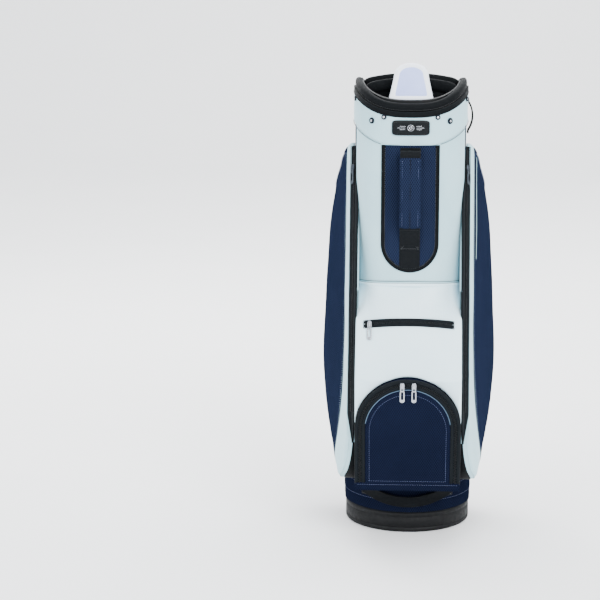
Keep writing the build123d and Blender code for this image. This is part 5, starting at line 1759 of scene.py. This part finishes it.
def make_strap():
    centre = arc_through([(y - PAD_THICK / 2, z) for y, z in PAD_ARC], 90)
    path = yz_path(centre)
    t = np.linspace(-1, 1, len(path))
    taper = 1 - 0.34 * np.clip((np.abs(t) - 0.9) / 0.1, 0, 1) ** 2
    thin = 1 - 0.45 * np.clip((np.abs(t) - 0.86) / 0.14, 0, 1) ** 1.6
    section = oval_section(PAD_HALF - 1.2, PAD_THICK / 2 - 1.6, 0.6, 0.9, 48)
    verts, faces = sweep(path, section, (0, 1, 0), False, np.stack([taper, thin], 1))
    verts[:, 1] += noise_waves(verts, 121, 34, 0.5) * 0.6
    pad = add_mesh("strap_pad_cloth", (verts, faces), BLACK_PAD, "strap_pad",
                   body="shoulder_strap")
    sides = []
    for half in (1.4 - PAD_HALF, PAD_HALF - 1.4):
        edge = path[2:-2] + xyz(half * taper[2:-2], 0, 0)
        sides.append(tube_along(edge, 1.5, False, 8, (0, 1, 0)))
    add_mesh("strap_pad_piping", merge(sides), TAPE, body="shoulder_strap")

    start, down = shank_axes()
    bar = start + down * (34.4 + 6.5)
    side = np.cross([1.0, 0, 0], down)
    turn = oval_section(4.2, 3.8, 0.7, 0.7, 40)
    wrap = bar + (side * turn[:, :1] + down * turn[:, 1:])
    ring = sweep(wrap, soft_section(STRAP_HALF - 0.4, 1.3, 5.0, 24), unit(wrap - bar), True)
    below = bar + down * 4.6
    line = [tuple(below[1:]), (centre[0][0] - 0.2, centre[0][1] - 6.0)]
    line = np.vstack([line, centre[6:-6], [(146.9, 372.0), (STRAP_Y, 356.0), (STRAP_Y, STRAP_FOOT + 1.0)]])
    line = resample(smooth_line(line, 1), 160)
    long = flat_strap(yz_path(line), STRAP_HALF - 0.4, 1.35, (0, 1, 0))
    add_mesh("strap_web", merge([ring, long]), BLACK_WEB, "strap_webbing",
             body="shoulder_strap")

    foot = [(STRAP_Y, STRAP_FOOT + 14.0), (STRAP_Y, STRAP_FOOT), (145.0, 150.0), (139.0, 141.0),
            (133.6, 134.0), (132.6, 126.0)]
    line = resample(smooth_line(np.array(foot), 3), 36)
    tail = add_mesh("strap_foot_web", flat_strap(yz_path(line), STRAP_HALF - 1.2, 1.2, (0, 1, 0.05)),
                    BLACK_WEB, body=None)
    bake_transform(tail)
    rows, cols = 18, 24
    z = np.linspace(124.5, 152.0, rows)[:, None]
    x = np.linspace(-STRAP_HALF + 0.4, STRAP_HALF - 0.4, cols)
    outer = xyz(x, body_back_y(x, z, 5.4) - edge_roll(rows, cols, 1.5, 0.9), z)
    inner = xyz(x, body_back_y(x, z, 2.2), z)
    add_mesh("strap_foot_patch", closed_shell(outer, inner), BLACK_WEB,
             "strap_anchor_lower")

    loop = [(134.6, 822.0), (135.2, 838.0), (138.4, 849.5), (143.0, 856.6), (148.2, 855.0), (148.4, 848.8),
            (143.4, 846.2), (137.6, 838.0), (136.4, 822.0)]
    line = resample(smooth_line(np.array(loop), 2), 60)
    up = unit(np.cross(np.gradient(yz_path(line), axis=0), [1.0, 0, 0]))
    add_mesh("strap_ring_loop", sweep(yz_path(line), soft_section(9.6, 0.9, 5.0, 24), up), BLACK_WEB,
             "strap_anchor_upper")


def make_accessory_loop():
    middle = arc_through([(x - 1.1, z) for x, z in ((115.4, 862.0), (125.0, 832.0), (115.4, 802.0))], 40)
    ends = np.vstack([[(114.6, 868.0)], middle[1:-1], [(114.6, 797.0)]])
    x, z = resample(ends, 48).T
    path = xyz(x, 20.0, z)
    add_mesh("accessory_loop_web", flat_strap(path, 9.6, 1.6, (1, 0, 0)), BLACK_WEB,
             "accessory_loop")


# --- nodes that keep their own shape ------------------------------------------------------
def paint_nodes():
    for look, names in ((FRAME_PLASTIC, ["collar_frame"]), (ROD, ["stay_rods"]), (NICKEL, ["strap_ring"]),
                        (GLOSS, ["strap_hook", "hook_gate", "strap_eye", "strap_glide"])):
        for name in names:
            materials = frame["nodes"][name].data.materials
            if not materials:
                materials.append(look)
            for k in range(len(materials)):
                materials[k] = look


# --- floor, light and camera --------------------------------------------------------------
def make_stage():
    turn = np.radians(np.linspace(0, 90, 30))
    bend = [(5.6 + 2.0 * sin(a), 2.0 - 2.0 * cos(a)) for a in turn[1:]]
    line = [(-12.0, 0.0), (5.6, 0.0)] + bend + [(7.6, 6.0)]
    verts = [(x, y, z) for y, z in line for x in (-12.0, 12.0)]
    faces = [(2 * k, 2 * k + 1, 2 * k + 3, 2 * k + 2) for k in range(len(line) - 1)]
    mesh = bpy.data.meshes.new("studio_floor")
    mesh.from_pydata(verts, [], faces)
    mesh.materials.append(paper_floor("studio_paper", (0.93, 0.935, 0.94, 1.0)))
    mesh.shade_smooth()
    floor = new_object("studio_floor", mesh)


def area_light(name, place, size, power, target=(0, 0, 0.5), tint=(1, 1, 1)):
    data = bpy.data.lights.new(name, "AREA")
    data.shape = "RECTANGLE"
    data.size, data.size_y = size
    data.energy = power
    data.color = tint
    light = new_object(name, data)
    light.location = place
    light.rotation_euler = (Vector(target) - Vector(place)).to_track_quat("-Z", "Y").to_euler()


def make_lights():
    world = bpy.data.worlds.new("studio")
    bpy.context.scene.world = world
    world.use_nodes = True
    sky = world.node_tree.nodes["Background"].inputs
    sky["Color"].default_value = (0.93, 0.96, 1.0, 1.0)
    sky["Strength"].default_value = 1.5
    area_light("key_light", (1.5, -2.7, 2.3), (1.6, 1.6), 150)
    area_light("fill_light", (-2.4, -2.0, 1.5), (1.8, 1.8), 60, tint=(0.94, 0.97, 1.0))
    area_light("top_light", (0.2, 0.3, 3.2), (2.4, 2.4), 70)
    area_light("backdrop_light", (0.0, 2.4, 4.4), (5.0, 2.6), 420, target=(0, 5.0, 0.3))
    area_light("rear_light", (-1.2, 2.0, 2.2), (1.4, 1.4), 50)


def make_camera():
    data = bpy.data.cameras.new("camera")
    data.lens = 121.1
    data.sensor_width = 36.0
    data.clip_end = 60.0
    camera = new_object("camera", data)
    camera.location = (0.0, -4.060, 1.240)
    camera.rotation_euler = (radians(90 - 10.95), 0.0, radians(3.15))
    bpy.context.scene.camera = camera


for step in (make_base, make_body, make_cuff, make_rim, make_dividers, make_guards, make_front_panel,
             make_inset, make_plate, make_snaps, make_grab_handle, make_mid_pocket, make_mid_zip,
             make_ball_pocket, make_side_pockets, make_sliders, make_base_handle, make_spine, make_strap,
             make_accessory_loop, paint_nodes, make_stage, make_lights, make_camera):
    step()
